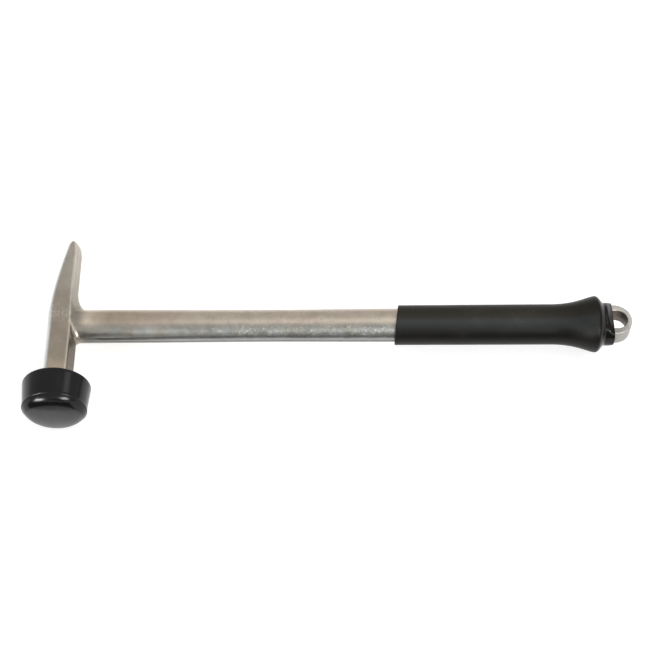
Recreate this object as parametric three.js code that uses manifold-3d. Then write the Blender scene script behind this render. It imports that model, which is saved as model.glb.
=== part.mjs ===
// Rubber faced hammer: one drop-forged steel body with a pick, a poll, a round shaft and a hanging
// eye, a moulded rubber cap pushed over the poll, and a moulded rubber sleeve on the grip.
// Units are millimetres. The hammer lies on its side: +X runs along the shaft from the head to the
// eye, +Y from the striking face to the pick, and +Z stands square to the forging's parting plane.

import * as THREE from 'three';
import { mergeVertices } from 'three/addons/utils/BufferGeometryUtils.js';
import Module from 'manifold-3d';

const wasm = await Module();
wasm.setup();

// Reach of each feature from the crossing of the head's axis and the shaft's axis

const pickLength = 54.2;
const pollReach = 47.4;
const headToGrip = 180.5;
const headToEyeEnd = 307.9;
const fitClearance = 0.3;

// Head, as half widths either side of its axis in the parting plane

const neckHalfWidth = 8.1;
const headLeftWidth = 8.5;
const pickRightWidth = 6.6;
const pickTipLeftWidth = 0.9;
const pickTipRightWidth = 5.8;
const pickTipRightRun = 8;
const pickTaperPower = 1.35;
const headHalfThickness = 9.6;
const pickTipHalfThickness = 7.3;
const neckEdgeRadius = 1.5;
const pickLeftEdgeRadius = 2;
const pickRightEdgeRadius = 1.3;
const leastEdgeRadius = 0.8;
const draftDegrees = 15;
const pickRightDraftDegrees = 12;
const pickTipLeftDraftDegrees = 11;
const pickTipRightDraftDegrees = 19;
const tipRoundLength = 3.6;
const tipRoundInset = 1;

// Poll inside the rubber cap

const pollRadius = 12.6;
const pollThickness = 7;
const pollRimRadius = 2;

// Shaft

const shaftRadius = 9;
const shaftWaistRadius = 8.65;
const shaftSeatRadius = 8.5;
const shaftSeatTaper = 18;
const shaftWaistPlaceShare = 0.6;
const pickFilletRun = 8.1;
const pickFilletRise = 14;
const pollFilletRun = 3.8;
const pollFilletRise = 3;
const filletSquareness = 5;
const filletSquarePower = 4;
const cheekStep = 0.4;
const partingLandHalfWidth = 1.3;
const partingLandHeight = 0.18;
const partingLandTopShare = 0.9;

// Hanging eye

const eyeReach = 10.2;
const eyeHalfHeight = 9.5;
const eyeHalfThickness = 4.8;
const eyeEdgeRadius = 0.8;
const eyeEndWall = 2.6;
const eyeSlotRadius = 5.6;
const eyeSlotLength = 13.4;
const eyeSlotDraft = 0.45;
const eyeShoulderLength = 13;
const eyeFlatLength = 3.5;

// Rubber cap

const capHeight = 20;
const capFaceThickness = 9.7;
const capBackRadius = 18.1;
const capSeamRadius = 16.9;
const capBackRounding = 1.4;
const capRimRadius = 7.7;
const capRimDegrees = 30;
const capCrownRadius = 40;
const capCrownDegrees = 13;
const capSeamLip = 0.25;
const capOpeningRounding = 1;

// Grip sleeve

const gripFrontRadius = 10.8;
const gripPalmRadius = 10.95;
const gripFrontSlant = 1.2;
const gripEdgeRounding = 0.5;
const flareRadius = 15.3;
const flareRun = 24.3;
const flareShoulder = 4.6;
const collarHalfHeight = 11.7;
const collarHalfThickness = 7.6;
const collarLength = 5;
const collarSquareness = 2.9;

// Smoothness

const roundSides = 44;
const capSides = 56;
const cornerSteps = 4;
const neckSteps = 3;
const crossingSteps = 6;
const pickSteps = 12;
const tipSteps = 4;
const filletSteps = 10;
const shaftSteps = 8;
const seatSteps = 3;
const heldSteps = 2;
const rootSteps = 8;
const tongueSides = 24;
const tongueEdgeSteps = 3;
const slotSides = 14;
const lipSteps = 3;
const crownSteps = 3;
const rimSteps = 6;
const palmSteps = 5;
const bellSteps = 10;
const flareBackSteps = 8;
const collarSteps = 4;
const overrun = 1;

// Materials

const steel = new THREE.MeshStandardMaterial({ color: 0xa8a196, roughness: 0.42, metalness: 0.85 });
const capRubber = new THREE.MeshStandardMaterial({ color: 0x232324, roughness: 0.36, metalness: 0 });
const gripRubber = new THREE.MeshStandardMaterial({ color: 0x2b2a27, roughness: 0.5, metalness: 0 });

// Numbers and curves

const between = (from, to, t) => from + (to - from) * t;
const share = (t) => Math.min(1, Math.max(0, t));
const smooth = (t) => share(t) ** 2 * (3 - 2 * share(t));

// Places from one end of a length to the other, in equal steps
const steps = (from, to, count) => Array.from(
  { length: count + 1 },
  (_, i) => between(from, to, i / count),
);

// Points of an arc, or of a quarter of an ellipse where the radii differ
const arc = ([x, y], radiusX, radiusY, from, to, count) => steps(from, to, count)
  .map((angle) => [x + radiusX * Math.cos(angle), y + radiusY * Math.sin(angle)]);

// Solids

// Skin through rings of points that have the same count, closed by a fan at each end
function loft(rings) {
  const count = rings[0].length;
  const points = rings.flat();
  const triangles = [];
  for (let ring = 0; ring + 1 < rings.length; ring += 1) {
    for (let i = 0; i < count; i += 1) {
      const a = ring * count + i;
      const b = ring * count + ((i + 1) % count);
      triangles.push(a, b, a + count, b, b + count, a + count);
    }
  }
  const middle = (ring) => ring
    .reduce((sum, point) => sum.add(point), new THREE.Vector3())
    .divideScalar(count);
  const firstMiddle = points.push(middle(rings[0])) - 1;
  const lastMiddle = points.push(middle(rings.at(-1))) - 1;
  const lastRing = (rings.length - 1) * count;
  for (let i = 0; i < count; i += 1) {
    const next = (i + 1) % count;
    triangles.push(firstMiddle, next, i);
    triangles.push(lastMiddle, lastRing + i, lastRing + next);
  }
  const geometry = new THREE.BufferGeometry().setFromPoints(points);
  geometry.setIndex(triangles);
  return geometry;
}

// Body turned about the head's axis from a profile of [radius, height] points
function turned(profile) {
  return new THREE.LatheGeometry(profile.map(([r, y]) => new THREE.Vector2(r, y)), capSides);
}

// Six times the volume inside a triangle mesh, below zero where its faces point inward
function signedVolume(positions, index) {
  const a = new THREE.Vector3();
  const b = new THREE.Vector3();
  const c = new THREE.Vector3();
  let volume = 0;
  for (let i = 0; i < index.length; i += 3) {
    a.fromBufferAttribute(positions, index[i]);
    b.fromBufferAttribute(positions, index[i + 1]);
    c.fromBufferAttribute(positions, index[i + 2]);
    volume += a.dot(b.cross(c));
  }
  return volume;
}

// Closed geometry as a solid that can be joined and cut
function solid(geometry) {
  const bare = geometry.clone();
  bare.deleteAttribute('normal');
  bare.deleteAttribute('uv');
  const merged = mergeVertices(bare);
  const positions = merged.getAttribute('position');
  const triVerts = new Uint32Array(merged.index.array);
  if (signedVolume(positions, triVerts) < 0) {
    triVerts.reverse();
  }
  const vertProperties = new Float32Array(positions.array);
  return new wasm.Manifold(new wasm.Mesh({ numProp: 3, vertProperties, triVerts }));
}

function piece(name, body, material) {
  const { vertProperties, triVerts } = body.getMesh();
  const geometry = new THREE.BufferGeometry();
  geometry.setAttribute('position', new THREE.BufferAttribute(vertProperties, 3));
  geometry.setIndex(new THREE.BufferAttribute(triVerts, 1));
  geometry.computeVertexNormals();
  const mesh = new THREE.Mesh(geometry, material);
  mesh.name = name;
  return mesh;
}

// Head: a loft along Y of rounded sections with flat cheeks and drafted flanks

const pollFace = -pollReach;
const pollBack = pollFace + pollThickness;
const neckEnd = pollFace + pollThickness / 2;
const slope = (degrees) => Math.tan(THREE.MathUtils.degToRad(degrees));

const alongPick = (at) => share((at - shaftRadius) / (pickLength - shaftRadius));
const pastCrossing = (at) => smooth((at + shaftRadius) / (shaftRadius * 2));

function headOutline(at) {
  const taper = alongPick(at) ** pickTaperPower;
  const crossing = pastCrossing(at);
  const tip = smooth((at - pickLength) / pickTipRightRun + 1);
  return {
    left: between(between(neckHalfWidth, headLeftWidth, crossing), pickTipLeftWidth, taper),
    right: between(between(neckHalfWidth, pickRightWidth, crossing), pickTipRightWidth, tip),
    half: between(headHalfThickness, pickTipHalfThickness, taper),
    leftRadius: between(neckEdgeRadius, pickLeftEdgeRadius, crossing),
    rightRadius: between(neckEdgeRadius, pickRightEdgeRadius, crossing),
    leftDraft: slope(between(draftDegrees, pickTipLeftDraftDegrees, taper)),
    rightDraft: slope(between(
      between(draftDegrees, pickRightDraftDegrees, crossing),
      pickTipRightDraftDegrees,
      taper,
    )),
  };
}

// Quarter of a section's edge, from one flat to the next, on both sides of the parting plane
function edgeQuarter(centreX, at, centreZ, radius, from) {
  return arc([centreX, centreZ], radius, radius, from, from + Math.PI / 2, cornerSteps)
    .map(([x, z]) => new THREE.Vector3(x, at, z));
}

function headSection(at, grow = 0) {
  const outline = headOutline(at);
  const left = outline.left + grow;
  const right = outline.right + grow;
  const half = outline.half + grow;
  const leftRadius = Math.max(outline.leftRadius + grow, leastEdgeRadius);
  const rightRadius = Math.max(outline.rightRadius + grow, leastEdgeRadius);
  const leftCentre = leftRadius + outline.leftDraft * (half - leftRadius) - left;
  const rightCentre = right - rightRadius - outline.rightDraft * (half - rightRadius);
  return [
    new THREE.Vector3(right, at, 0),
    ...edgeQuarter(rightCentre, at, half - rightRadius, rightRadius, 0),
    ...edgeQuarter(leftCentre, at, half - leftRadius, leftRadius, Math.PI / 2),
    new THREE.Vector3(-left, at, 0),
    ...edgeQuarter(leftCentre, at, leftRadius - half, leftRadius, Math.PI),
    ...edgeQuarter(rightCentre, at, rightRadius - half, rightRadius, Math.PI * 1.5),
  ];
}

// The pick's end rolls over: each last section keeps its height but draws in on all sides
function tipSection(turn) {
  const at = pickLength - tipRoundLength * (1 - Math.sin(turn));
  return headSection(at, -tipRoundInset * (1 - Math.cos(turn)));
}

function head() {
  const stations = [
    ...steps(neckEnd, -shaftRadius, neckSteps),
    ...steps(-shaftRadius, shaftRadius, crossingSteps).slice(1),
    ...steps(shaftRadius, pickLength - tipRoundLength, pickSteps).slice(1),
  ];
  const tip = steps(0, Math.PI / 2, tipSteps).slice(1);
  return loft([...stations.map((at) => headSection(at)), ...tip.map(tipSection)]);
}

// Round poll with rolled rims. The cap's pocket is this shape grown by the clearance.
function poll(grow = 0) {
  const rim = pollRadius - pollRimRadius;
  const rolled = pollRimRadius + grow;
  const front = [rim, pollFace + pollRimRadius];
  const back = [rim, pollBack - pollRimRadius];
  return turned([
    [0, pollFace - grow],
    ...arc(front, rolled, rolled, -Math.PI / 2, 0, cornerSteps),
    ...arc(back, rolled, rolled, 0, Math.PI / 2, cornerSteps),
    [0, pollBack + grow],
  ]);
}

// Shaft: a loft along X that starts in the head's fillets and ends in the flat root of the eye

const filletEnd = pickRightWidth + pickFilletRun;
const collarEnd = headToEyeEnd - eyeReach;
const eyeFlatFrom = collarEnd - eyeFlatLength;
const shoulderFrom = collarEnd - eyeShoulderLength;
const waistAt = headToGrip * shaftWaistPlaceShare;

function shaftRadiusAt(at) {
  const toWaist = smooth((at - filletEnd) / (waistAt - filletEnd));
  const fromWaist = smooth((at - waistAt) / (headToGrip - waistAt));
  const bare = between(shaftRadius, shaftWaistRadius, toWaist - fromWaist);
  return between(bare, shaftSeatRadius, smooth((at - headToGrip) / shaftSeatTaper));
}

// Height that a fillet, a quarter of an ellipse, adds to the shaft near the flank of the head
function filletHeight(at, flank, run, rise) {
  const into = share((flank + run - at) / run);
  return rise * (1 - Math.sqrt(1 - into ** 2));
}

// Point of a section that is round at the least squareness and nears a box as squareness grows
const roundSquareness = 2;
function sectionPoint(at, angle, height, depth, squareness = roundSquareness) {
  const y = Math.cos(angle);
  const z = Math.sin(angle);
  return new THREE.Vector3(
    at,
    Math.sign(y) * Math.abs(y) ** (roundSquareness / squareness) * height,
    Math.sign(z) * Math.abs(z) ** (roundSquareness / squareness) * depth,
  );
}

// Angles round a section, with a close pair at each edge of the trimmed parting land
const landAngle = partingLandHalfWidth / shaftRadius;
const landLimit = Math.sin(landAngle * between(partingLandTopShare, 1, 1 / 2));
const quarterAngles = [
  0,
  landAngle * partingLandTopShare,
  ...steps(landAngle, Math.PI / 2, roundSides / 4 - 2),
];
const sectionAngles = [0, 1, 2, 3].flatMap((quarter) => {
  const angles = quarter % 2 ? quarterAngles.map((a) => Math.PI / 2 - a).reverse() : quarterAngles;
  return angles.slice(0, -1).map((a) => a + (Math.PI / 2) * quarter);
});

function shaftSection(at, grow = 0) {
  const radius = shaftRadiusAt(at);
  const inHead = share((filletEnd - at) / pickFilletRun);
  const toEye = smooth((at - shoulderFrom) / (eyeFlatFrom - shoulderFrom));
  const bare = (1 - inHead) * share((shoulderFrom - at) / eyeShoulderLength);
  const cheek = between(radius, headHalfThickness - cheekStep, smooth(inHead));
  const depth = between(cheek, eyeHalfThickness - eyeEdgeRadius / 2, toEye) + grow;
  const flat = between(radius, eyeHalfHeight - eyeEdgeRadius / 2, toEye) + grow;
  const squareShare = Math.max(toEye, inHead ** filletSquarePower);
  const squareness = between(roundSquareness, filletSquareness, squareShare);
  const pickFillet = filletHeight(at, pickRightWidth, pickFilletRun, pickFilletRise);
  const pollFillet = filletHeight(at, neckHalfWidth, pollFilletRun, pollFilletRise);
  return sectionAngles.map((angle) => {
    const fillet = Math.cos(angle) > 0 ? pickFillet : pollFillet;
    const onLand = Math.abs(Math.sin(angle)) < landLimit;
    const land = onLand ? partingLandHeight * bare : 0;
    return sectionPoint(at, angle, flat + fillet + land, depth, squareness);
  });
}

function shaft(grow = 0) {
  const stations = [
    0,
    ...steps(pickRightWidth, filletEnd, filletSteps),
    ...steps(filletEnd, headToGrip, shaftSteps).slice(1),
    ...steps(headToGrip, headToGrip + shaftSeatTaper, seatSteps).slice(1),
    ...steps(headToGrip + shaftSeatTaper, shoulderFrom, heldSteps).slice(1),
    ...steps(shoulderFrom, eyeFlatFrom, rootSteps).slice(1),
    eyeFlatFrom + eyeEdgeRadius,
  ];
  return loft(stations.map((at) => shaftSection(at, grow)));
}

// Hanging eye: a flat tongue with a round end and rolled edges, pierced by a drafted slot

function eyeTongue(grow = 0) {
  const half = eyeHalfHeight + grow - eyeEdgeRadius;
  const centre = headToEyeEnd - eyeHalfHeight;
  const shape = new THREE.Shape();
  shape.moveTo(eyeFlatFrom, -half);
  shape.lineTo(centre, -half);
  shape.absarc(centre, 0, half, -Math.PI / 2, Math.PI / 2, false);
  shape.lineTo(eyeFlatFrom, half);
  shape.closePath();
  const flatThickness = (eyeHalfThickness + grow - eyeEdgeRadius) * 2;
  const geometry = new THREE.ExtrudeGeometry(shape, {
    depth: flatThickness,
    bevelEnabled: true,
    bevelSize: eyeEdgeRadius,
    bevelThickness: eyeEdgeRadius,
    bevelSegments: tongueEdgeSteps,
    curveSegments: tongueSides,
  });
  geometry.translate(0, 0, -flatThickness / 2);
  return geometry;
}

// Slot of the eye: tightest at the parting plane, with a rolled lip at both faces
function eyeSlot() {
  const far = headToEyeEnd - eyeEndWall - eyeSlotRadius;
  const near = far + eyeSlotRadius * 2 - eyeSlotLength;
  const mouth = eyeHalfThickness + overrun;
  const lipFrom = eyeHalfThickness - eyeEdgeRadius;
  const slotRing = (z) => {
    const intoLip = Math.max(0, Math.abs(z) - lipFrom);
    const lip = intoLip ** 2 / (eyeEdgeRadius * 2);
    const r = eyeSlotRadius - eyeSlotDraft * (1 - Math.abs(z) / mouth) + lip;
    const ends = [[far, -Math.PI / 2], [near, Math.PI / 2]];
    return ends.flatMap(([x, from]) => arc([x, 0], r, r, from, from + Math.PI, slotSides))
      .map(([x, y]) => new THREE.Vector3(x, y, z));
  };
  const levels = [...steps(lipFrom, eyeHalfThickness, lipSteps), mouth];
  const below = levels.map((z) => -z).reverse();
  return loft([...below, 0, ...levels].map(slotRing));
}

function hammerBody() {
  return solid(head())
    .add(solid(poll()))
    .add(solid(shaft()))
    .add(solid(eyeTongue()))
    .subtract(solid(eyeSlot()));
}

// Rubber cap: a turned body with a crowned face and a seam lip, hollowed for the poll and neck

const capFace = pollFace - fitClearance - capFaceThickness;
const capBack = capFace + capHeight;
const rimTurn = THREE.MathUtils.degToRad(capRimDegrees);
const crownTurn = THREE.MathUtils.degToRad(capCrownDegrees);
const rimMiddle = capSeamRadius - capRimRadius * Math.cos(rimTurn);
const crownMiddle = rimMiddle + (capRimRadius - capCrownRadius) * Math.sin(crownTurn);
const rimLevel = capFace + capCrownRadius + (capRimRadius - capCrownRadius) * Math.cos(crownTurn);
const capSeam = rimLevel - capRimRadius * Math.sin(rimTurn);

function capOutside() {
  const down = -Math.PI / 2;
  const crown = [crownMiddle, capFace + capCrownRadius];
  const rim = [rimMiddle, rimLevel];
  const back = [capBackRadius - capBackRounding, capBack - capBackRounding];
  return turned([
    [0, capFace],
    ...arc(crown, capCrownRadius, capCrownRadius, down, down + crownTurn, crownSteps),
    ...arc(rim, capRimRadius, capRimRadius, down + crownTurn, -rimTurn, rimSteps).slice(1),
    [capSeamRadius + capSeamLip, capSeam + capSeamLip],
    [capSeamRadius, capSeam + capSeamLip * 2],
    ...arc(back, capBackRounding, capBackRounding, 0, Math.PI / 2, cornerSteps),
    [0, capBack],
  ]);
}

// Opening round the neck, grown by the clearance and eased where the rubber meets the air
function neckOpening() {
  const eased = capBack - capOpeningRounding;
  return loft([
    headSection(pollFace + pollThickness / 2, fitClearance),
    headSection(eased, fitClearance),
    headSection(capBack, fitClearance + capOpeningRounding),
    headSection(capBack + overrun, fitClearance + capOpeningRounding + overrun),
  ]);
}

function rubberCap() {
  return solid(capOutside())
    .subtract(solid(poll(fitClearance)))
    .subtract(solid(neckOpening()));
}

// Grip sleeve: a loft along X from a slanted front edge through the flare to a flattened collar,
// bored by the steel that it holds grown by the clearance

const collarFrom = collarEnd - collarLength;
const flareAt = collarFrom - flareShoulder;
const flareFrom = flareAt - flareRun;
const flareCurveShares = [0, 0.6, 0.85, 1];
const shoulderCurveShares = [0, 0.4, 0.72, 1];

// Outline that leaves one radius and arrives at another along the shaft, level at both ends
function easedOutline(from, to, startRadius, endRadius, placeShares, count) {
  const places = placeShares.map((t) => between(from, to, t));
  const radii = [startRadius, startRadius, endRadius, endRadius];
  const points = places.map((at, i) => new THREE.Vector2(at, radii[i]));
  return new THREE.CubicBezierCurve(...points).getPoints(count);
}

function gripOutline() {
  const palm = steps(headToGrip, flareFrom, palmSteps).map((at) => new THREE.Vector2(
    at,
    between(gripFrontRadius, gripPalmRadius, smooth((at - headToGrip) / (flareFrom - headToGrip))),
  ));
  const edge = steps(0, Math.PI / 2, 2).map((turn) => new THREE.Vector2(
    headToGrip + gripEdgeRounding * (1 - Math.cos(turn)),
    gripFrontRadius - gripEdgeRounding * (1 - Math.sin(turn)),
  ));
  const bell = easedOutline(
    flareFrom,
    flareAt,
    gripPalmRadius,
    flareRadius,
    flareCurveShares,
    bellSteps,
  );
  const shoulder = easedOutline(
    flareAt,
    collarFrom,
    flareRadius,
    collarHalfHeight,
    shoulderCurveShares,
    flareBackSteps,
  );
  return [...edge, ...palm.slice(1), ...bell.slice(1), ...shoulder.slice(1)];
}

function gripSection({ x: at, y: radius }) {
  const slant = gripFrontSlant * share(1 - (at - headToGrip) / flareRun);
  return sectionAngles.map((angle) => {
    const point = sectionPoint(at, angle, radius, radius);
    point.x += slant * Math.cos(angle);
    return point;
  });
}

// Collar section, round at the flare and flattened like the eye's root at its end
function collarSection(at, inset = 0) {
  const along = smooth((at - collarFrom) / collarLength);
  const height = collarHalfHeight - inset;
  const depth = between(collarHalfHeight, collarHalfThickness, along) - inset;
  const squareness = between(roundSquareness, collarSquareness, along);
  return sectionAngles.map((angle) => sectionPoint(at, angle, height, depth, squareness));
}

function gripSleeve() {
  const collar = steps(collarFrom, collarEnd - gripEdgeRounding, collarSteps).slice(1);
  const outside = loft([
    ...gripOutline().map(gripSection),
    ...collar.map((at) => collarSection(at)),
    collarSection(collarEnd, gripEdgeRounding),
  ]);
  return solid(outside)
    .subtract(solid(shaft(fitClearance)))
    .subtract(solid(eyeTongue(fitClearance)));
}

// The hammer stands on z = 0 with the middle of its outline over the origin

const hammer = new THREE.Group();
hammer.add(piece('hammer_body', hammerBody(), steel));
hammer.add(piece('rubber_cap', rubberCap(), capRubber));
hammer.add(piece('grip_sleeve', gripSleeve(), gripRubber));
hammer.position.set(
  (capBackRadius - headToEyeEnd) / 2,
  -(pickLength + capFace) / 2,
  capBackRadius,
);

const part = new THREE.Group();
part.add(hammer);

export default part;
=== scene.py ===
"""Rubber faced hammer: a forged and plated steel body, a moulded rubber cap and a rubber sleeve.

Lengths of the pieces are millimetres in the hammer's own frame, whose origin is where the axis of
the head crosses the axis of the shaft: X runs along the shaft to the eye, Y to the pick and Z up.
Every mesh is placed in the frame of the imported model, in metres. The finishes, the floor, the
lamps and the cards are given in metres in that frame too.
"""

from __future__ import annotations

import logging
import math
from dataclasses import dataclass, field
from enum import Enum
from typing import Callable, Iterable, Sequence

import bmesh
import bpy
import numpy as np
from mathutils import Matrix, Vector

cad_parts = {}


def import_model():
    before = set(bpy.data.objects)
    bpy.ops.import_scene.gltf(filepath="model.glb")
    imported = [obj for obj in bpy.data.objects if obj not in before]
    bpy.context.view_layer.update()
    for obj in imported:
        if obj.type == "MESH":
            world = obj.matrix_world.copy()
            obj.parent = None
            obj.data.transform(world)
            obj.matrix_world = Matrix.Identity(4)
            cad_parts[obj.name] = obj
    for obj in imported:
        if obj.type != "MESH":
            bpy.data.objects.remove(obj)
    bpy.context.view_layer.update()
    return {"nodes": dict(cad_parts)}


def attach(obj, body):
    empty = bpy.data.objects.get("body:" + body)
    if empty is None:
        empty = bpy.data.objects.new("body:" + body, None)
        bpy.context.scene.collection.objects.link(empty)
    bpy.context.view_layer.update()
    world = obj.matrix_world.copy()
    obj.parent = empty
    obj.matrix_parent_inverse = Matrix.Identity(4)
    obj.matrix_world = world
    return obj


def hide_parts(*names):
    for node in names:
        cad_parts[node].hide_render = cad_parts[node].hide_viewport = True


LOG = logging.getLogger("hammer")

MM = 0.001
CIRCLE = 2.0
SOLID_WELD = 0.001 * MM
HAMMER_ORIGIN = np.array([-144.9, 1.6, 18.1])

Colour = tuple[float, float, float]
Field = Callable[[np.ndarray], np.ndarray]
Point = tuple[float, float]
Socket = bpy.types.NodeSocket


def mix(start: float, end: float, part: np.ndarray) -> np.ndarray:
    """Value that lies a given part of the way from start to end."""
    return start + (end - start) * part


def share(value: np.ndarray) -> np.ndarray:
    """Value held between 0 and 1."""
    return np.clip(value, 0.0, 1.0)


def smooth(value: np.ndarray) -> np.ndarray:
    """Share that leaves 0 and reaches 1 without a corner."""
    held = share(value)
    return held * held * (3.0 - 2.0 * held)


def step(gap: np.ndarray, width: float) -> np.ndarray:
    """Share that goes from 0 to 1 over a width, about where a distance changes its sign."""
    return smooth(0.5 + gap / width)


def rounded_meet(first: np.ndarray, second: np.ndarray, radius: np.ndarray) -> np.ndarray:
    """Distance to what two bodies have in common, with the edge between them rounded.

    Args:
        first: Signed distances to one body, below zero inside it.
        second: Signed distances to the other body.
        radius: Radius of the rounded edge.

    Returns:
        Signed distances to the common body.
    """
    past = np.hypot(np.maximum(first + radius, 0.0), np.maximum(second + radius, 0.0))
    return np.minimum(np.maximum(first, second), -radius) + past


def filleted_join(
    first: np.ndarray, second: np.ndarray, run: np.ndarray, rise: np.ndarray
) -> np.ndarray:
    """Distance to two bodies joined by a fillet that is a quarter of an ellipse.

    Args:
        first: Signed distances to one body.
        second: Signed distances to the other body.
        run: How far the fillet reaches from the first body.
        rise: How far the fillet reaches from the second body.

    Returns:
        Signed distances to the joined body, true beside the first one.
    """
    one, two = first / run, second / rise
    hollow = np.hypot(np.maximum(1.0 - one, 0.0), np.maximum(1.0 - two, 0.0))
    return (np.maximum(1.0, np.minimum(one, two)) - hollow) * run


def arc(centre: Point, radius: float, angles: Point, count: int) -> list[Point]:
    """Points of an arc, given as the place along an axis and the distance from it.

    Args:
        centre: Middle of the arc.
        radius: Its radius.
        angles: First and last angle in degrees, from the axis.
        count: How many points.

    Returns:
        The points in order.
    """
    turns = np.radians(np.linspace(*angles, count))
    return [(centre[0] + radius * math.cos(a), centre[1] + radius * math.sin(a)) for a in turns]


def s_curve(start: Point, end: Point, pulls: Point, count: int) -> list[Point]:
    """Points of a curve that leaves its start and reaches its end along the axis.

    Args:
        start: Where it starts, which isn't among the points.
        end: Where it ends.
        pulls: Shares of the way along the axis at which its two inner control points lie.
        count: How many points, with the start.

    Returns:
        The points in order.
    """
    t = np.linspace(0.0, 1.0, count)[1:, None]
    near, far = (start[0] + (end[0] - start[0]) * pull for pull in pulls)
    a, b, c, d = (np.array(p) for p in (start, (near, start[1]), (far, end[1]), end))
    points = a * (1 - t) ** 3 + 3 * b * t * (1 - t) ** 2 + 3 * c * t**2 * (1 - t) + d * t**3
    return [tuple(p) for p in points]


# Shader nodes


@dataclass(frozen=True)
class Run:
    """Where a change starts and where it ends, and the values that it goes from and to."""

    start: float
    end: float
    low: float = 0.0
    high: float = 1.0


@dataclass(frozen=True)
class Waves:
    """Noise: its waves to the metre, how many finer layers it has and how strong they are."""

    per_metre: float
    detail: float
    rough: float


class Bench:
    """A node tree with short ways to add, set and join its nodes."""

    def __init__(self, tree: bpy.types.NodeTree) -> None:
        """Works on a tree that is empty."""
        self.tree = tree

    def node(
        self, kind: str, inputs: dict[object, object] | None = None, **settings: object
    ) -> bpy.types.Node:
        """Adds a node.

        Args:
            kind: Blender's name for the type of node.
            inputs: Values or sockets for its inputs, by the input's name or number.
            **settings: Properties of the node.

        Returns:
            The node.
        """
        node = self.tree.nodes.new(kind)
        for name, value in settings.items():
            setattr(node, name, value)
        for name, value in (inputs or {}).items():
            self.feed(node.inputs[name], value)
        return node

    def feed(self, socket: Socket, value: object) -> None:
        """Joins a socket to an input, or sets the input's own value.

        Args:
            socket: The input.
            value: What it gets.
        """
        if isinstance(value, bpy.types.NodeSocket):
            self.tree.links.new(value, socket)
        else:
            socket.default_value = value

    def calc(self, operation: str, *values: object, clamp: bool = False) -> Socket:
        """Result of a Math node with these values or sockets."""
        inputs = dict(enumerate(values))
        return self.node("ShaderNodeMath", inputs, operation=operation, use_clamp=clamp).outputs[0]

    def product(self, first: object, *others: object) -> Socket:
        """Product of several values or sockets.

        Args:
            first: The first of them.
            *others: The rest.

        Returns:
            The product's socket.
        """
        for other in others:
            first = self.calc("MULTIPLY", first, other)
        return first

    def total(self, base: object, *parts: tuple[Socket, object]) -> Socket:
        """Base with sockets added to it, each as many times as what stands beside it.

        Args:
            base: Value or socket.
            *parts: Sockets, each with its value or socket beside it.

        Returns:
            The total's socket.
        """
        for value, times in parts:
            base = self.calc("MULTIPLY_ADD", value, times, base)
        return base

    def axes(self, place: Socket) -> Sequence[Socket]:
        """The three coordinates of a place."""
        return self.node("ShaderNodeSeparateXYZ", {"Vector": place}).outputs

    def tint(self, part: object, low: object, high: object, blend: str = "MIX") -> Socket:
        """Colour mixed from two colours or sockets.

        Args:
            part: Share of the second one.
            low: The first colour.
            high: The second colour.
            blend: Blender's name for the way of mixing.

        Returns:
            The colour's socket.
        """
        node = self.node("ShaderNodeMix", data_type="RGBA", blend_type=blend)
        self.feed(node.inputs["Factor"], part)
        colours = [s for s in node.inputs if s.type == "RGBA"]
        self.feed(colours[0], rgba(low))
        self.feed(colours[1], rgba(high))
        return next(s for s in node.outputs if s.type == "RGBA")

    def coated(self, colour: object, *coats: tuple[object, object]) -> Socket:
        """Colour under coats laid on in turn, each given by its share and its own colour.

        Args:
            colour: The colour below.
            *coats: Shares and colours.

        Returns:
            The colour's socket.
        """
        for part, coat in coats:
            colour = self.tint(part, colour, coat)
        return colour

    def span(self, value: Socket, run: Run) -> Socket:
        """Value eased along a run.

        Args:
            value: What goes from the run's start to its end.
            run: The run.

        Returns:
            Socket of what goes from the run's low value to its high one.
        """
        return self.node("ShaderNodeMapRange", {
            "Value": value, "From Min": run.start, "From Max": run.end,
            "To Min": run.low, "To Max": run.high}, interpolation_type="SMOOTHSTEP").outputs[0]

    def noise(self, place: Socket, waves: Waves) -> Socket:
        """Level of a noise, which is about a half in the middle.

        Args:
            place: Where it is read.
            waves: The noise.

        Returns:
            The level's socket.
        """
        return self.node("ShaderNodeTexNoise", {
            "Vector": place, "Scale": waves.per_metre, "Detail": waves.detail,
            "Roughness": waves.rough}).outputs[0]

    def patches(self, place: Socket, waves: Waves, levels: Run) -> Socket:
        """Patches where a noise lies between two of its levels or beyond them."""
        return self.span(self.noise(place, waves), levels)


def rgba(value: object) -> object:
    """A colour with its fourth number, or the socket as it is."""
    return value if isinstance(value, bpy.types.NodeSocket) else (*value, 1.0)


def new_material(name: str) -> tuple[bpy.types.Material, Bench, Socket]:
    """Makes an empty material.

    Args:
        name: The material's name.

    Returns:
        The material, its bench, and the socket of places on the object, in metres.
    """
    material = bpy.data.materials.new(name)
    material.use_nodes = True
    material.node_tree.nodes.clear()
    bench = Bench(material.node_tree)
    return material, bench, bench.node("ShaderNodeTexCoord").outputs["Object"]


def close_material(bench: Bench, shader: dict[str, object], bump: Socket, depth: float) -> None:
    """Adds the shader and the bump that end a finish.

    Args:
        bench: The material's bench.
        shader: Values or sockets of the shader's inputs.
        bump: Height of the surface, from 0 to 1.
        depth: What a height of 1 stands for, in metres.
    """
    normal = bench.node("ShaderNodeBump", {"Height": bump, "Distance": depth, "Strength": 1.0})
    body = bench.node("ShaderNodeBsdfPrincipled", {**shader, "Normal": normal.outputs[0]})
    bench.node("ShaderNodeOutputMaterial", {"Surface": body.outputs[0]})


class Mark(Enum):
    """Parts of the head that its finish tells apart."""

    CHEEK = "cheek"
    RIGHT = "right_side"
    LEFT = "left_side"
    RIDGE = "ridge"


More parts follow.
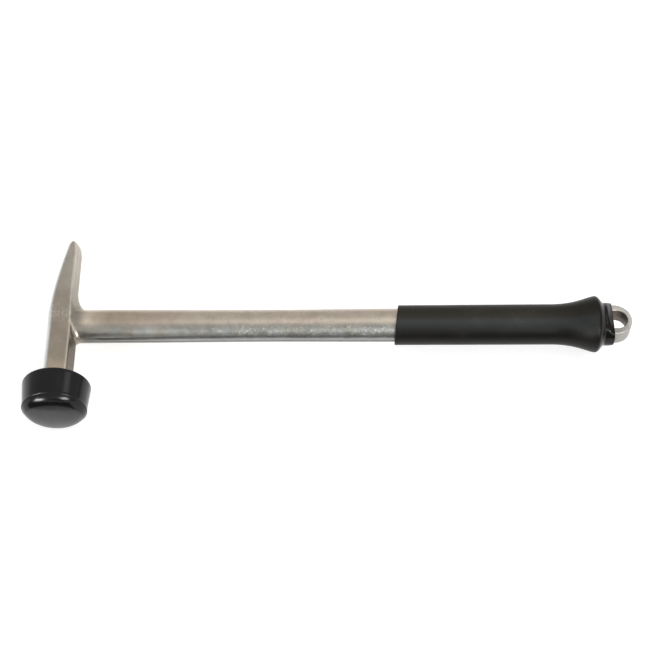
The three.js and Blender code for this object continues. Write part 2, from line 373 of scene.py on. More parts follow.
@dataclass(frozen=True)
class PlatedSteel:
    """Satin plating over forged steel: warm and cool patches, fine grain and pitted places.

    The shaft is golden by the head and paler towards the sleeve, and more pitted along its front.
    Its front is greyer as painted shade, which stands for the dark surroundings that it reflects,
    and by the head its land takes on that painted shade. Its trimmed flash has left a dark line
    beside the parting land. On the head, the neck's side is darkened as painted shade and the
    ridge is paler, partly as wear and partly as a painted highlight. Inside the eye's slot the
    wall is darker, partly with dirt and partly as painted shade. A run lies in metres on the body,
    or between two levels of a pattern.
    """

    fresh: Colour = (0.67, 0.58, 0.465)
    fresh_by_head: Run = Run(-0.118, -0.132)
    golden: Colour = (0.44, 0.362, 0.272)
    pale: Colour = (0.54, 0.47, 0.385)
    paler_behind: Run = Run(-0.125, -0.07)
    rose: Colour = (0.5, 0.385, 0.335)
    rose_share: float = 0.35
    rose_waves: Waves = Waves(60.0, 3.0, 0.6)
    rose_levels: Run = Run(0.38, 0.62)
    # Greyer colour of the shaft's front side: painted shade for the dark surroundings it reflects.
    front: Colour = (0.265, 0.262, 0.235)
    front_edge: Run = Run(-0.0022, -0.0066)
    front_by_head: Colour = (0.345, 0.33, 0.29)
    front_to_head: Run = Run(-0.07, -0.113)
    blue: Colour = (0.315, 0.333, 0.33)
    blue_share: float = 0.5
    blue_waves: Waves = Waves(150.0, 3.0, 0.7)
    blue_levels: Run = Run(0.48, 0.62)
    fleck: Colour = (0.6, 0.61, 0.6)
    fleck_waves: Waves = Waves(630.0, 4.0, 0.7)
    fleck_levels: Run = Run(0.56, 0.68, 0.0, 0.55)
    fleck_share: float = 0.35
    fleck_crowd: float = 0.85
    land: Colour = (0.305, 0.305, 0.3)
    land_height: Run = Run(-0.125, -0.07, 0.000275, 0.0011)
    land_edge: Run = Run(0.0002, -0.0002)
    # By the head the land takes the front's colour, as painted shade from the head.
    land_shade_by_head: Run = Run(-0.07, -0.125)
    trim: Colour = (0.1, 0.1, 0.1)
    trim_line: Run = Run(0.0021, 0.0013, 0.0, 0.62)
    trim_shade: Run = Run(0.0037, 0.0016, 0.0, 0.2)

    crowd_starts: Run = Run(-0.085, -0.045)
    crowd_ends: Run = Run(0.04, 0.024)
    pit: Colour = (0.2, 0.195, 0.18)
    pit_per_metre: float = 620.0
    pit_edge: Run = Run(0.5, 0.15)
    pit_waves: Waves = Waves(170.0, 3.0, 0.7)
    pit_levels: Run = Run(0.4, 0.55)
    pit_share: float = 0.3
    pit_crowd: float = 0.7
    pit_tint: float = 0.22
    pit_tint_in_front: float = 0.35

    cheek: Colour = (0.385, 0.33, 0.265)
    cheek_by_cap: Colour = (0.52, 0.425, 0.33)
    cheek_to_cap: Run = Run(-0.022, -0.031)
    pick_cheek: Colour = (0.465, 0.425, 0.355)
    cheek_to_pick: Run = Run(0.01, 0.03)
    # Pale colour of specks of wear on the cheek, also laid on the ridge, where it is partly wear
    # and partly a painted highlight.
    wear_and_ridge_highlight: Colour = (0.62, 0.57, 0.5)
    worn_waves: Waves = Waves(900.0, 4.0, 0.7)
    worn_levels: Run = Run(0.45, 0.6, 0.0, 0.7)
    worn_from: Run = Run(-0.004, 0.004)
    worn_to: Run = Run(0.016, 0.006)
    left_side: Colour = (0.55, 0.55, 0.54)
    # Dark colour of the neck's side: painted shade for the shaft and shadow that it reflects. The
    # ground bands take it as their dark colour.
    shaded_neck_and_band: Colour = (0.165, 0.135, 0.105)
    side_to_shaded_neck: Run = Run(-0.008, -0.016)
    pick_root_side: Colour = (0.355, 0.315, 0.265)
    pick_side: Colour = (0.52, 0.47, 0.405)
    side_to_pick: Run = Run(0.012, 0.042)
    band_per_metre: float = 330.0
    band_detail: float = 2.0
    band_levels: Run = Run(0.4, 0.65, 0.0, 0.35)

    eye: Colour = (0.54, 0.52, 0.475)
    eye_starts: Run = Run(0.1495, 0.1525)
    eye_low: Colour = (0.36, 0.345, 0.32)
    eye_to_low: Run = Run(-0.001, -0.006)
    # Dark wall inside the slot: partly dirt and partly painted shade in the recess.
    slot: Colour = (0.17, 0.14, 0.125)
    slot_near: float = 0.1526
    slot_far: float = 0.1548
    slot_edge: Run = Run(0.0059, 0.0057)

    mottle_waves: Waves = Waves(180.0, 5.0, 0.7)
    grain_waves: Waves = Waves(900.0, 4.0, 0.65)
    least_shade: float = 0.73
    mottle_shade: float = 0.55
    least_roughness: float = 0.25
    mottle_roughness: float = 0.22
    eye_roughness: float = 0.14
    pit_roughness: float = 0.15
    mottle_height: float = 0.9
    grain_height: float = 0.35
    pit_height: float = -0.9
    bump_depth: float = 0.00004

    def build(self) -> bpy.types.Material:
        """Makes the material.

        Returns:
            The finished material.
        """
        material, bench, place = new_material("plated_steel")
        axes = bench.axes(place)
        mottle = bench.noise(place, self.mottle_waves)
        grain = bench.noise(place, self.grain_waves)
        crowded = bench.product(
            bench.span(axes[0], self.crowd_starts), bench.span(axes[0], self.crowd_ends))
        pitted = self.pitted(bench, place, crowded)
        colour = self.shaft_colour(bench, place, pitted, crowded)
        colour = self.head_colour(bench, place, colour)
        blasted = bench.span(axes[0], self.eye_starts)
        colour = bench.tint(blasted, colour, self.eye_colour(bench, axes))
        shade = bench.total(self.least_shade, (mottle, self.mottle_shade))
        grey = bench.node("ShaderNodeCombineColor", {0: shade, 1: shade, 2: shade}).outputs[0]
        colour = bench.tint(1.0, colour, grey, "MULTIPLY")
        rough = bench.total(
            self.least_roughness, (mottle, self.mottle_roughness),
            (blasted, self.eye_roughness), (pitted, self.pit_roughness))
        height = bench.total(
            0.0, (mottle, self.mottle_height), (grain, self.grain_height),
            (pitted, self.pit_height))
        shader = {"Base Color": colour, "Metallic": 1.0, "Roughness": rough}
        close_material(bench, shader, height, self.bump_depth)
        return material

    def pitted(self, bench: Bench, place: Socket, crowded: Socket) -> Socket:
        """Share of the pits that the plating left open.

        Args:
            bench: The material's bench.
            place: Places on the body.
            crowded: Share of the rough stretch halfway along the shaft, where most of them are.

        Returns:
            The share's socket.
        """
        cells = bench.node("ShaderNodeTexVoronoi", {
            "Vector": place, "Scale": self.pit_per_metre, "Randomness": 1.0})
        return bench.product(
            bench.span(cells.outputs["Distance"], self.pit_edge),
            bench.patches(place, self.pit_waves, self.pit_levels),
            bench.total(self.pit_share, (crowded, self.pit_crowd)))

    def shaft_colour(
        self, bench: Bench, place: Socket, pitted: Socket, crowded: Socket
    ) -> Socket:
        """Colour of the shaft, from its golden top to the land at the parting plane.

        Args:
            bench: The material's bench.
            place: Places on the body.
            pitted: Share of the pits.
            crowded: Share of the stretch where flecks and pits crowd.

        Returns:
            The colour's socket.
        """
        along, across, up = bench.axes(place)
        ahead = bench.calc("SUBTRACT", across, HAMMER_ORIGIN[1] * MM)
        frontal = bench.span(ahead, self.front_edge)
        # The front side's painted shade, a little lighter by the head.
        front = bench.tint(bench.span(along, self.front_to_head), self.front, self.front_by_head)
        rose = bench.patches(place, self.rose_waves, self.rose_levels)
        blue = bench.patches(place, self.blue_waves, self.blue_levels)
        pits = bench.total(self.pit_tint, (frontal, self.pit_tint_in_front))
        flecks = bench.patches(place, self.fleck_waves, self.fleck_levels)
        often = bench.total(self.fleck_share, (crowded, self.fleck_crowd))
        off_plane = bench.calc("ABSOLUTE", bench.calc("SUBTRACT", up, HAMMER_ORIGIN[2] * MM))
        off_land = bench.calc("SUBTRACT", off_plane, bench.span(along, self.land_height))
        trimmed = bench.calc(
            "ADD", bench.span(off_land, self.trim_line), bench.span(off_land, self.trim_shade))
        # By the head the land takes the front's painted shade.
        land = bench.tint(bench.span(along, self.land_shade_by_head), self.land, self.front)
        return bench.coated(
            self.golden,
            (bench.span(along, self.paler_behind), self.pale),
            (bench.span(along, self.fresh_by_head), self.fresh),
            (bench.product(rose, self.rose_share), self.rose),
            (frontal, front),
            (bench.product(blue, frontal, self.blue_share), self.blue),
            (bench.product(pitted, pits), self.pit),
            (bench.product(flecks, often, frontal), self.fleck),
            (trimmed, self.trim),
            (bench.span(off_land, self.land_edge), land))

    def head_colour(self, bench: Bench, place: Socket, colour: Socket) -> Socket:
        """Adds the head's darker cheeks, its ground sides and its paler edge, with painted light.

        The neck's side is darkened as painted shade. The edge is paler partly as wear and partly
        as a painted highlight.

        Args:
            bench: The material's bench.
            place: Places on the body.
            colour: Colour of the shaft.

        Returns:
            The colour's socket.
        """
        _, across, up = bench.axes(place)
        bands = bench.node("ShaderNodeTexNoise", {
            "W": up, "Scale": self.band_per_metre, "Detail": self.band_detail},
            noise_dimensions="1D").outputs[0]
        side = bench.coated(
            self.pick_root_side,
            (bench.span(across, self.side_to_pick), self.pick_side),
            # The neck's side is darkened as painted shade, and the ground bands take the same
            # colour.
            (bench.span(across, self.side_to_shaded_neck), self.shaded_neck_and_band),
            (bench.span(bands, self.band_levels), self.shaded_neck_and_band))
        specks = bench.product(
            bench.span(across, self.worn_to),
            bench.patches(place, self.worn_waves, self.worn_levels),
            bench.span(across, self.worn_from))
        cheek = bench.coated(
            self.cheek,
            (bench.span(across, self.cheek_to_pick), self.pick_cheek),
            (bench.span(across, self.cheek_to_cap), self.cheek_by_cap),
            (specks, self.wear_and_ridge_highlight))
        # The ridge's pale colour is partly wear and partly a painted highlight, and the side's
        # colour holds the neck's painted shade.
        finishes = {
            Mark.CHEEK: cheek, Mark.RIGHT: side, Mark.LEFT: self.left_side, Mark.RIDGE: self.wear_and_ridge_highlight}
        return bench.coated(colour, *(
            (bench.node("ShaderNodeAttribute", attribute_name=mark.value).outputs["Fac"], coat)
            for mark, coat in finishes.items()))

    def eye_colour(self, bench: Bench, axes: Sequence[Socket]) -> Socket:
        """Colour of the blasted eye, darker on the wall inside its slot.

        That wall is darker partly with dirt and partly as painted shade.

        Args:
            bench: The material's bench.
            axes: The three coordinates of places on the body.

        Returns:
            The colour's socket.
        """
        nearest = bench.calc(
            "MAXIMUM", bench.calc("MINIMUM", axes[0], self.slot_far), self.slot_near)
        along = bench.calc("SUBTRACT", axes[0], nearest)
        across = bench.calc("SUBTRACT", axes[1], HAMMER_ORIGIN[1] * MM)
        away = bench.calc("SQRT", bench.calc(
            "ADD", bench.product(along, along), bench.product(across, across)))
        # The slot's wall is darkened partly as dirt and partly as painted shade.
        return bench.coated(
            self.eye,
            (bench.span(axes[1], self.eye_to_low), self.eye_low),
            (bench.span(away, self.slot_edge), self.slot))


@dataclass(frozen=True)
class MouldedRubber:
    """Black rubber with a fine skin from the mould and a pale bloom in patches.

    Scuffs, dust and a smooth end are for a moulding that gives their runs. Where it doesn't, they
    lie a long way off it. Towards the front the dust turns into a painted sheen, and the scuffs
    grow towards the floor as painted light from the floor.
    """

    name: str
    colour: Colour
    bloom: Colour
    gloss: float
    least_roughness: float
    skin_waves: Waves
    bump_depth: float
    skin_roughness: float = 0.08
    cloud_waves: Waves = Waves(45.0, 5.0, 0.65)
    cloud_levels: Run = Run(0.4, 0.75)
    cloud_bloom: float = 0.5
    cloud_roughness: float = 0.1
    speck_waves: Waves = Waves(1500.0, 2.0, 0.5)
    speck_levels: Run = Run(0.62, 0.75)
    speck_bloom: float = 0.35
    scuff: Colour = (0.0, 0.0, 0.0)
    scuff_edge: Run = Run(-1.0, -1.0006)
    scuff_lean: float = 0.13
    # The scuffs' share grows towards the floor as painted light from the floor.
    scuff_and_floor_light_height: Run = Run(0.0205, -0.003, 0.3, 1.1)
    scuff_waves: Waves = Waves(160.0, 4.0, 0.6)
    scuff_levels: Run = Run(0.1, 0.7, 0.7, 1.0)
    dust: Colour = (0.0, 0.0, 0.0)
    # Neutral colour that the dust turns into towards the front: a painted sheen.
    front_sheen: Colour = (0.036, 0.039, 0.04)
    dust_to_front_sheen: Run = Run(-0.0002, -0.0032)
    dust_height: Run = Run(0.5, 1.0)
    dust_levels: Run = Run(0.0, 1.0, 0.7, 1.0)
    dust_thins: Run = Run(0.108, 0.143, 1.0, 0.45)
    smooth_end: Run = Run(1.0, 1.003)
    smooth_end_roughness: float = -0.27

    def build(self) -> bpy.types.Material:
        """Makes the material.

        Returns:
            The finished material.
        """
        material, bench, place = new_material(self.name)
        along, across, high = bench.axes(place)
        cloud = bench.patches(place, self.cloud_waves, self.cloud_levels)
        specks = bench.patches(place, self.speck_waves, self.speck_levels)
        skin = bench.noise(place, self.skin_waves)
        end = bench.span(along, self.smooth_end)
        # Dust on the top, which towards the front turns into a painted sheen.
        dust_and_sheen_share = bench.product(
            bench.span(high, self.dust_height), bench.span(cloud, self.dust_levels),
            bench.span(along, self.dust_thins))
        dust = bench.tint(
            bench.span(across, self.dust_to_front_sheen), self.dust, self.front_sheen)
        bloom = bench.total(0.0, (cloud, self.cloud_bloom), (specks, self.speck_bloom))
        colour = bench.coated(
            self.colour,
            (bloom, self.bloom),
            (bench.calc("SUBTRACT", dust_and_sheen_share, end, clamp=True), dust),
            (self.scuffed(bench, place), self.scuff))
        rough = bench.total(
            self.least_roughness, (cloud, self.cloud_roughness), (skin, self.skin_roughness),
            (end, self.smooth_end_roughness))
        shader = {"Base Color": colour, "Metallic": 0.0, "Roughness": rough,
                  "Specular IOR Level": self.gloss}
        close_material(bench, shader, skin, self.bump_depth)
        return material

    def scuffed(self, bench: Bench, place: Socket) -> Socket:
        """Share of the pale scuffs on a face that strikes, more of them towards the floor.

        The scuffs are wear; their growth towards the floor is painted light from the floor.

        Args:
            bench: The material's bench.
            place: Places on the moulding.

        Returns:
            The share's socket.
        """
        _, across, high = bench.axes(place)
        leaning = bench.total(across, (high, self.scuff_lean))
        return bench.product(
            bench.span(high, self.scuff_and_floor_light_height),
            bench.patches(place, self.scuff_waves, self.scuff_levels),
            bench.span(leaning, self.scuff_edge))


# Geometry Nodes


class Outline(Enum):
    """What each point of a moulding's outline says beside its place."""

    FLATTEN = "flatten"
    SQUARENESS = "squareness"
    SLANT = "slant"
    DIP = "dip"


@dataclass(frozen=True)
class Ring:
    """Point of a moulding's outline, and how the ring through it departs from a circle.

    flatten is what the ring loses across, squareness grows from a circle's towards a box's,
    slant moves its two sides apart along the axis, and dip draws its flats back.
    """

    along: float
    radius: float
    flatten: float = 0.0
    squareness: float = CIRCLE
    slant: float = 0.0
    dip: float = 0.0


def rings_through(points: Iterable[tuple[float, float]], **form: float) -> list[Ring]:
    """Rings through an outline's points, all of one form."""
    return [Ring(along, radius, **form) for along, radius in points]


class SkinTree:
    """Geometry Nodes tree that makes a dressed skin out of a mesh."""

    FINISH = "Finish"

    def __init__(self, name: str, given: dict[str, str]) -> None:
        """Builds the tree.

        Args:
            name: The tree's name.
            given: The kinds of its inputs, by their names.
        """
        self.tree = bpy.data.node_groups.new(name, "GeometryNodeTree")
        face = self.tree.interface
        self.keys = {
            label: face.new_socket(
                name=label, in_out="INPUT", socket_type="NodeSocket" + kind).identifier
            for label, kind in {**given, self.FINISH: "Material"}.items()
        }
        face.new_socket(name="Skin", in_out="OUTPUT", socket_type="NodeSocketGeometry")
        bench = Bench(self.tree)
        inputs = bench.node("NodeGroupInput").outputs
        skin = self.wire(bench, inputs)
        real = bench.node("GeometryNodeRealizeInstances", {"Geometry": skin})
        dressed = bench.node("GeometryNodeSetMaterial", {
            "Geometry": real.outputs[0], "Material": inputs[self.FINISH]})
        bench.node("NodeGroupOutput", {0: dressed.outputs[0]})

    def wire(self, bench: Bench, given: Sequence[Socket]) -> Socket:
        """Joins the nodes of one kind of tree, up to the skin that they make."""
        raise NotImplementedError

    def run(self, mesh: bpy.types.Mesh, settings: dict[str, object]) -> bpy.types.Mesh:
        """Runs the tree on a mesh.

        Args:
            mesh: What the tree works on.
            settings: Values of the tree's inputs, by their names.

        Returns:
            The plain mesh that the tree makes.
        """
        carrier = new_piece(mesh.name, mesh)
        modifier = carrier.modifiers.new(self.tree.name, "NODES")
        modifier.node_group = self.tree
        for label, value in settings.items():
            modifier[self.keys[label]] = value
        return settle(carrier)


class RingTree(SkinTree):
    """Tree that draws a closed skin of rings through an outline's points."""

    SIDES = "Sides"
    WELD = 0.002 * MM
    HALF_GRID = 0.5

    def __init__(self) -> None:
        """Builds the tree once, for every moulding."""
        super().__init__("moulding_rings", {"Outline": "Geometry", self.SIDES: "Int"})

    def wire(self, bench: Bench, given: Sequence[Socket]) -> Socket:
        """Joins the nodes, from a plain grid to the rings.

        Args:
            bench: The tree's bench.
            given: The tree's inputs.

        Returns:
            The socket of the closed skin.
        """
        outline, sides = given["Outline"], given[self.SIDES]
        count = bench.node("GeometryNodeAttributeDomainSize", {0: outline}).outputs["Point Count"]
        grid = bench.node("GeometryNodeMeshGrid", {
            "Vertices X": bench.calc("ADD", sides, 1.0),
            "Vertices Y": bench.calc("ADD", count, 1.0),
        }).outputs[0]
        place = bench.node("GeometryNodeInputPosition").outputs[0]
        column, row = (
            bench.calc("ADD", axis, self.HALF_GRID) for axis in bench.axes(place)[:2])
        index = bench.calc(
            "FLOORED_MODULO", bench.calc("ROUND", bench.product(row, count)), count)
        turn = bench.product(column, math.tau)
        point = bench.node("GeometryNodeSampleIndex", {
            "Geometry": outline, "Value": place, "Index": index}, data_type="FLOAT_VECTOR")
        along, radius, _ = bench.axes(point.outputs[0])
        said = {key: self._said(bench, outline, index, key) for key in Outline}
        power = bench.calc("DIVIDE", CIRCLE, said[Outline.SQUARENESS])
        cosine, sine = bench.calc("COSINE", turn), bench.calc("SINE", turn)
        half = bench.calc("SUBTRACT", radius, said[Outline.FLATTEN])
        leaning = bench.total(along, (cosine, said[Outline.SLANT]))
        drawn = bench.product(sine, sine, said[Outline.DIP])
        spot = bench.node("ShaderNodeCombineXYZ", {
            0: bench.calc("SUBTRACT", leaning, drawn),
            1: bench.product(self._bent(bench, cosine, power), radius),
            2: bench.product(self._bent(bench, sine, power), half)}).outputs[0]
        skin = bench.node("GeometryNodeSetPosition", {"Geometry": grid, "Position": spot})
        closed = bench.node("GeometryNodeMergeByDistance", {
            "Geometry": skin.outputs[0], "Distance": self.WELD})
        return bench.node(
            "GeometryNodeSetShadeSmooth", {"Geometry": closed.outputs[0]}).outputs[0]

    @staticmethod
    def _said(bench: Bench, outline: Socket, index: Socket, key: Outline) -> Socket:
        """What the outline's point says about one of its ring's features.

        Args:
            bench: The tree's bench.
            outline: The outline.
            index: Number of the point.
            key: The feature.

        Returns:
            The feature's socket.
        """
        named = bench.node("GeometryNodeInputNamedAttribute", {"Name": key.value})
        return bench.node("GeometryNodeSampleIndex", {
            "Geometry": outline, "Value": named.outputs[0], "Index": index}).outputs[0]

    @staticmethod
    def _bent(bench: Bench, value: Socket, power: Socket) -> Socket:
        """Power of a value that keeps its sign."""
        size = bench.calc("POWER", bench.calc("ABSOLUTE", value), power)
        return bench.product(bench.calc("SIGN", value), size)

    def draw(
        self, name: str, rings: Sequence[Ring], sides: int, finish: bpy.types.Material
    ) -> bpy.types.Mesh:
        """Draws a moulding round the X axis.

        Args:
            name: The mesh's name.
            rings: The closed outline's points in order, in millimetres.
            sides: How many points each ring has.
            finish: Material of the skin.

        Returns:
            The closed mesh, in metres, with its faces pointing outwards.
        """
        count = len(rings)
        mesh = bpy.data.meshes.new(name + "_outline")
        edges = [(i, (i + 1) % count) for i in range(count)]
        mesh.from_pydata([(r.along * MM, r.radius * MM, 0.0) for r in rings], edges, [])
        scales = {Outline.FLATTEN: MM, Outline.SQUARENESS: 1.0, Outline.SLANT: MM, Outline.DIP: MM}
        for key, scale in scales.items():
            layer = mesh.attributes.new(key.value, "FLOAT", "POINT")
            layer.data.foreach_set("value", [getattr(r, key.value) * scale for r in rings])
        drawn = self.run(mesh, {self.SIDES: sides, self.FINISH: finish})
        drawn.name = name
        tidy_normals(drawn)
        return drawn


class ForgedSkin(SkinTree):
    """Tree that gives a forged surface its shallow waves."""

    DEPTH = "Depth"
    WAVES = "Waves per metre"
    SEED = "Seed"
    DETAIL = 2.0
    MIDDLE_LEVEL = 0.5

    def __init__(self) -> None:
        """Builds the tree."""
        super().__init__("forged_skin", {
            "Body": "Geometry", self.DEPTH: "Float", self.WAVES: "Float", self.SEED: "Float"})

    def wire(self, bench: Bench, given: Sequence[Socket]) -> Socket:
        """Joins the nodes that lift the body's points along their normals.

        Args:
            bench: The tree's bench.
            given: The tree's inputs.

        Returns:
            The socket of the waved body.
        """
        place = bench.node("GeometryNodeInputPosition").outputs[0]
        normal = bench.node("GeometryNodeInputNormal").outputs[0]
        noise = bench.node("ShaderNodeTexNoise", {
            "Vector": place, "W": given[self.SEED], "Scale": given[self.WAVES],
            "Detail": self.DETAIL}, noise_dimensions="4D").outputs[0]
        lift = bench.product(
            bench.calc("SUBTRACT", noise, self.MIDDLE_LEVEL), given[self.DEPTH])
        offset = bench.node(
            "ShaderNodeVectorMath", {0: normal, "Scale": lift}, operation="SCALE")
        return bench.node("GeometryNodeSetPosition", {
            "Geometry": given["Body"], "Offset": offset.outputs[0]}).outputs[0]


def settle(carrier: bpy.types.Object) -> bpy.types.Mesh:
    """Turns an object's modifiers into a plain mesh, and removes the object.

    Args:
        carrier: The object.

    Returns:
        The mesh.
    """
    view = bpy.context.evaluated_depsgraph_get()
    mesh = bpy.data.meshes.new_from_object(carrier.evaluated_get(view))
    carrier.modifiers.clear()
    bpy.data.objects.remove(carrier)
    return mesh


def tidy_normals(mesh: bpy.types.Mesh) -> None:
    """Points a closed mesh's faces outwards.

    Args:
        mesh: The mesh.
    """
    work = bmesh.new()
    work.from_mesh(mesh)
    bmesh.ops.recalc_face_normals(work, faces=work.faces[:])
    if work.calc_volume(signed=True) < 0.0:
        bmesh.ops.reverse_faces(work, faces=work.faces[:])
    work.to_mesh(mesh)
    work.free()


# Pieces


@dataclass
class ForgedBody:
    """One-piece forging: pick, neck, poll, shaft and hanging eye."""

    pick_length: float = 54.18
    neck_half_width: float = 8.1
    head_left_width: float = 8.5
    pick_right_width: float = 6.6
    pick_tip_left_width: float = 0.9
    pick_tip_right_width: float = 5.8
    pick_tip_right_run: float = 8.0
    pick_taper_power: float = 1.35
    head_half_thickness: float = 9.6
    tip_half_thickness: float = 7.3
    neck_edge_radius: float = 1.5
    pick_left_edge_radius: float = 2.0
    pick_right_edge_radius: float = 1.3
    draft_degrees: float = 15.0
    pick_right_draft_degrees: float = 12.0
    tip_left_draft_degrees: float = 11.0
    tip_right_draft_degrees: float = 19.0
    tip_round_length: float = 3.6
    tip_round_inset: float = 1.0
    tip_edge_radius: float = 0.5

    poll_radius: float = 12.6
    poll_middle: float = -43.9
    poll_half_thickness: float = 3.5
    poll_rim_radius: float = 2.0

    shaft_radius: float = 9.0
    waist_radius: float = 8.65
    seat_radius: float = 8.5
    seat_taper: float = 18.0
    grip_from: float = 180.5
    waist_at: float = 108.3
    front_fillet: float = 0.6
    pick_fillet_run: float = 8.1
    pick_fillet_rise: float = 14.0
    poll_fillet_run: float = 3.8
    poll_fillet_rise: float = 3.0
    shaft_end_slope: float = 4.0

    land_half_width: float = 1.3
    land_height: float = 0.18
    land_fade: float = 6.0
    land_points: tuple[float, ...] = (0.0, 0.5, 0.93)
    land_edge: float = 0.97
    land_foot: float = 1.02

    eye_end: float = 307.9
    eye_half_height: float = 9.5
    eye_half_thickness: float = 4.8
    eye_edge_radius: float = 0.8
    root_from: float = 284.7
    flat_from: float = 294.2
    flat_squareness: float = 5.0
    slot_radius: float = 5.6
    slot_draft: float = 0.45
    slot_lip: float = 0.8
    slot_near: float = 297.5
    slot_far: float = 299.7
    tongue_overlap: float = 1.5

    head_cut: float = 17.5
    eye_cut: float = 280.0
    head_voxel: float = 0.4
    eye_voxel: float = 0.33
    station_step: float = 1.4
    hidden_step: float = 5.0
    quadrant_steps: int = 16
    bare_past_grip: float = 4.0
    axis_gap: float = 0.01
    mark_end: float = 14.0
    mark_fade: float = 6.0
    mark_depth: float = 2.5
    left_shift: float = 0.9
    mark_step: float = 0.7
    ridge_shift: float = 0.1
    ridge_width: float = 0.55
    wave_height: float = 0.07
    waves_per_metre: float = 130.0
    wave_seed: float = 7.0
    finish: PlatedSteel = field(default_factory=PlatedSteel)

    def shaft_radius_at(self, along: np.ndarray) -> np.ndarray:
        """Radius of the bare shaft, slightly waisted and drawn in under the sleeve.

        Args:
            along: Places along the shaft.

        Returns:
            The radius at each of them.
        """
        fillet_end = self.pick_right_width + self.pick_fillet_run
        to_waist = smooth((along - fillet_end) / (self.waist_at - fillet_end))
        from_waist = smooth((along - self.waist_at) / (self.grip_from - self.waist_at))
        bare = mix(self.shaft_radius, self.waist_radius, to_waist - from_waist)
        return mix(bare, self.seat_radius, smooth((along - self.grip_from) / self.seat_taper))

    def taper(self, along: np.ndarray) -> np.ndarray:
        """Share of the pick's taper reached at a place along the head."""
        radius = self.shaft_radius
        return share((along - radius) / (self.pick_length - radius)) ** self.pick_taper_power

    def crossing(self, along: np.ndarray) -> np.ndarray:
        """Share of the way past the shaft, from the neck to the pick."""
        return smooth((along + self.shaft_radius) / (2.0 * self.shaft_radius))

    def sides(self, points: np.ndarray) -> tuple[np.ndarray, np.ndarray]:
        """Distances to the two drafted sides of the head.

        Args:
            points: Places in the hammer's frame, in millimetres, one to a row.

        Returns:
            Signed distances to the right and the left side, below zero inside.
        """
        x, y, z = points.T
        taper, crossing = self.taper(y), self.crossing(y)
        left = mix(mix(self.neck_half_width, self.head_left_width, crossing),
                   self.pick_tip_left_width, taper)
        tip = smooth((y - self.pick_length) / self.pick_tip_right_run + 1.0)
        right = mix(mix(self.neck_half_width, self.pick_right_width, crossing),
                    self.pick_tip_right_width, tip)
        left_draft = mix(self.draft_degrees, self.tip_left_draft_degrees, taper)
        right_draft = mix(mix(self.draft_degrees, self.pick_right_draft_degrees, crossing),
                          self.tip_right_draft_degrees, taper)
        off_plane = np.abs(z)
        return (x - right + np.tan(np.radians(right_draft)) * off_plane,
                -x - left + np.tan(np.radians(left_draft)) * off_plane)

    def head_field(self, points: np.ndarray) -> np.ndarray:
        """Distance to the head before the shaft joins it.

        Args:
            points: Places in the hammer's frame, in millimetres, one to a row.

        Returns:
            Signed distances, below zero inside the head.
        """
        along = points[:, 1]
        crossing = self.crossing(along)
        roll = share(1.0 - (self.pick_length - along) / self.tip_round_length)
        inset = self.tip_round_inset * (1.0 - np.sqrt(1.0 - roll**2))
        cheek = self.cheek_field(points) + inset
        right, left = (
            rounded_meet(side + inset, cheek, mix(self.neck_edge_radius, radius, crossing))
            for side, radius in zip(
                self.sides(points), (self.pick_right_edge_radius, self.pick_left_edge_radius))
        )
        return rounded_meet(
            np.maximum(right, left), along - self.pick_length, self.tip_edge_radius)

    def cheek_field(self, points: np.ndarray) -> np.ndarray:
        """Distance to the flat cheeks, which draw together along the pick."""
        half = mix(self.head_half_thickness, self.tip_half_thickness, self.taper(points[:, 1]))
        return np.abs(points[:, 2]) - half

    def mark(self, mesh: bpy.types.Mesh) -> None:
        """Writes on each point how much it lies on the cheeks, each side and the edge.

        The edge is coloured partly as wear and partly as a painted highlight.

        Args:
            mesh: The forging's mesh, in metres.
        """
        points = places_on(mesh)
        right, left = self.sides(points)
        cheek = self.cheek_field(points)
        on_head = smooth((self.mark_end - points[:, 0]) / self.mark_fade)
        proud = smooth(1.0 + cheek / self.mark_depth)
        layers = {
            Mark.CHEEK: step(-np.maximum(right, left), self.mark_step) * proud,
            Mark.RIGHT: step(right - cheek, self.mark_step),
            Mark.LEFT: step(left - cheek + self.left_shift, self.mark_step),
            Mark.RIDGE: np.exp(-((right - cheek - self.ridge_shift) / self.ridge_width) ** 2),
        }
        for mark, values in layers.items():
            layer = mesh.attributes.new(mark.value, "FLOAT", "POINT")
            layer.data.foreach_set("value", on_head * values)

    def head_and_shaft_field(self, points: np.ndarray) -> np.ndarray:
        """Distance to the head, the shaft and the fillets where they meet.

        Args:
            points: Places in the hammer's frame, in millimetres.

        Returns:
            Signed distances. The fillets are long on the pick's side, short on the poll's side
            and small at the cheeks, where the head stands a little proud of the shaft.
        """
        x, y, z = points.T
        reach = np.maximum(np.hypot(y, z), self.axis_gap)
        shaft = reach - self.shaft_radius_at(x) + np.maximum(-x, 0.0) * self.shaft_end_slope
        to_pick = np.maximum(y / reach, 0.0) ** 2
        to_poll = np.maximum(-y / reach, 0.0) ** 2
        run, rise = (
            self.front_fillet + (pick - self.front_fillet) * to_pick
            + (poll - self.front_fillet) * to_poll
            for pick, poll in (
                (self.pick_fillet_run, self.poll_fillet_run),
                (self.pick_fillet_rise, self.poll_fillet_rise))
        )
        joined = filleted_join(self.head_field(points), shaft, run, rise)
        joined = np.maximum(joined, self.cheek_field(points))
        joined = np.maximum(joined, self.poll_middle - y)
        poll = rounded_meet(
            np.hypot(x, z) - self.poll_radius,
            np.abs(y - self.poll_middle) - self.poll_half_thickness,
            self.poll_rim_radius)
        return np.minimum(joined, poll)

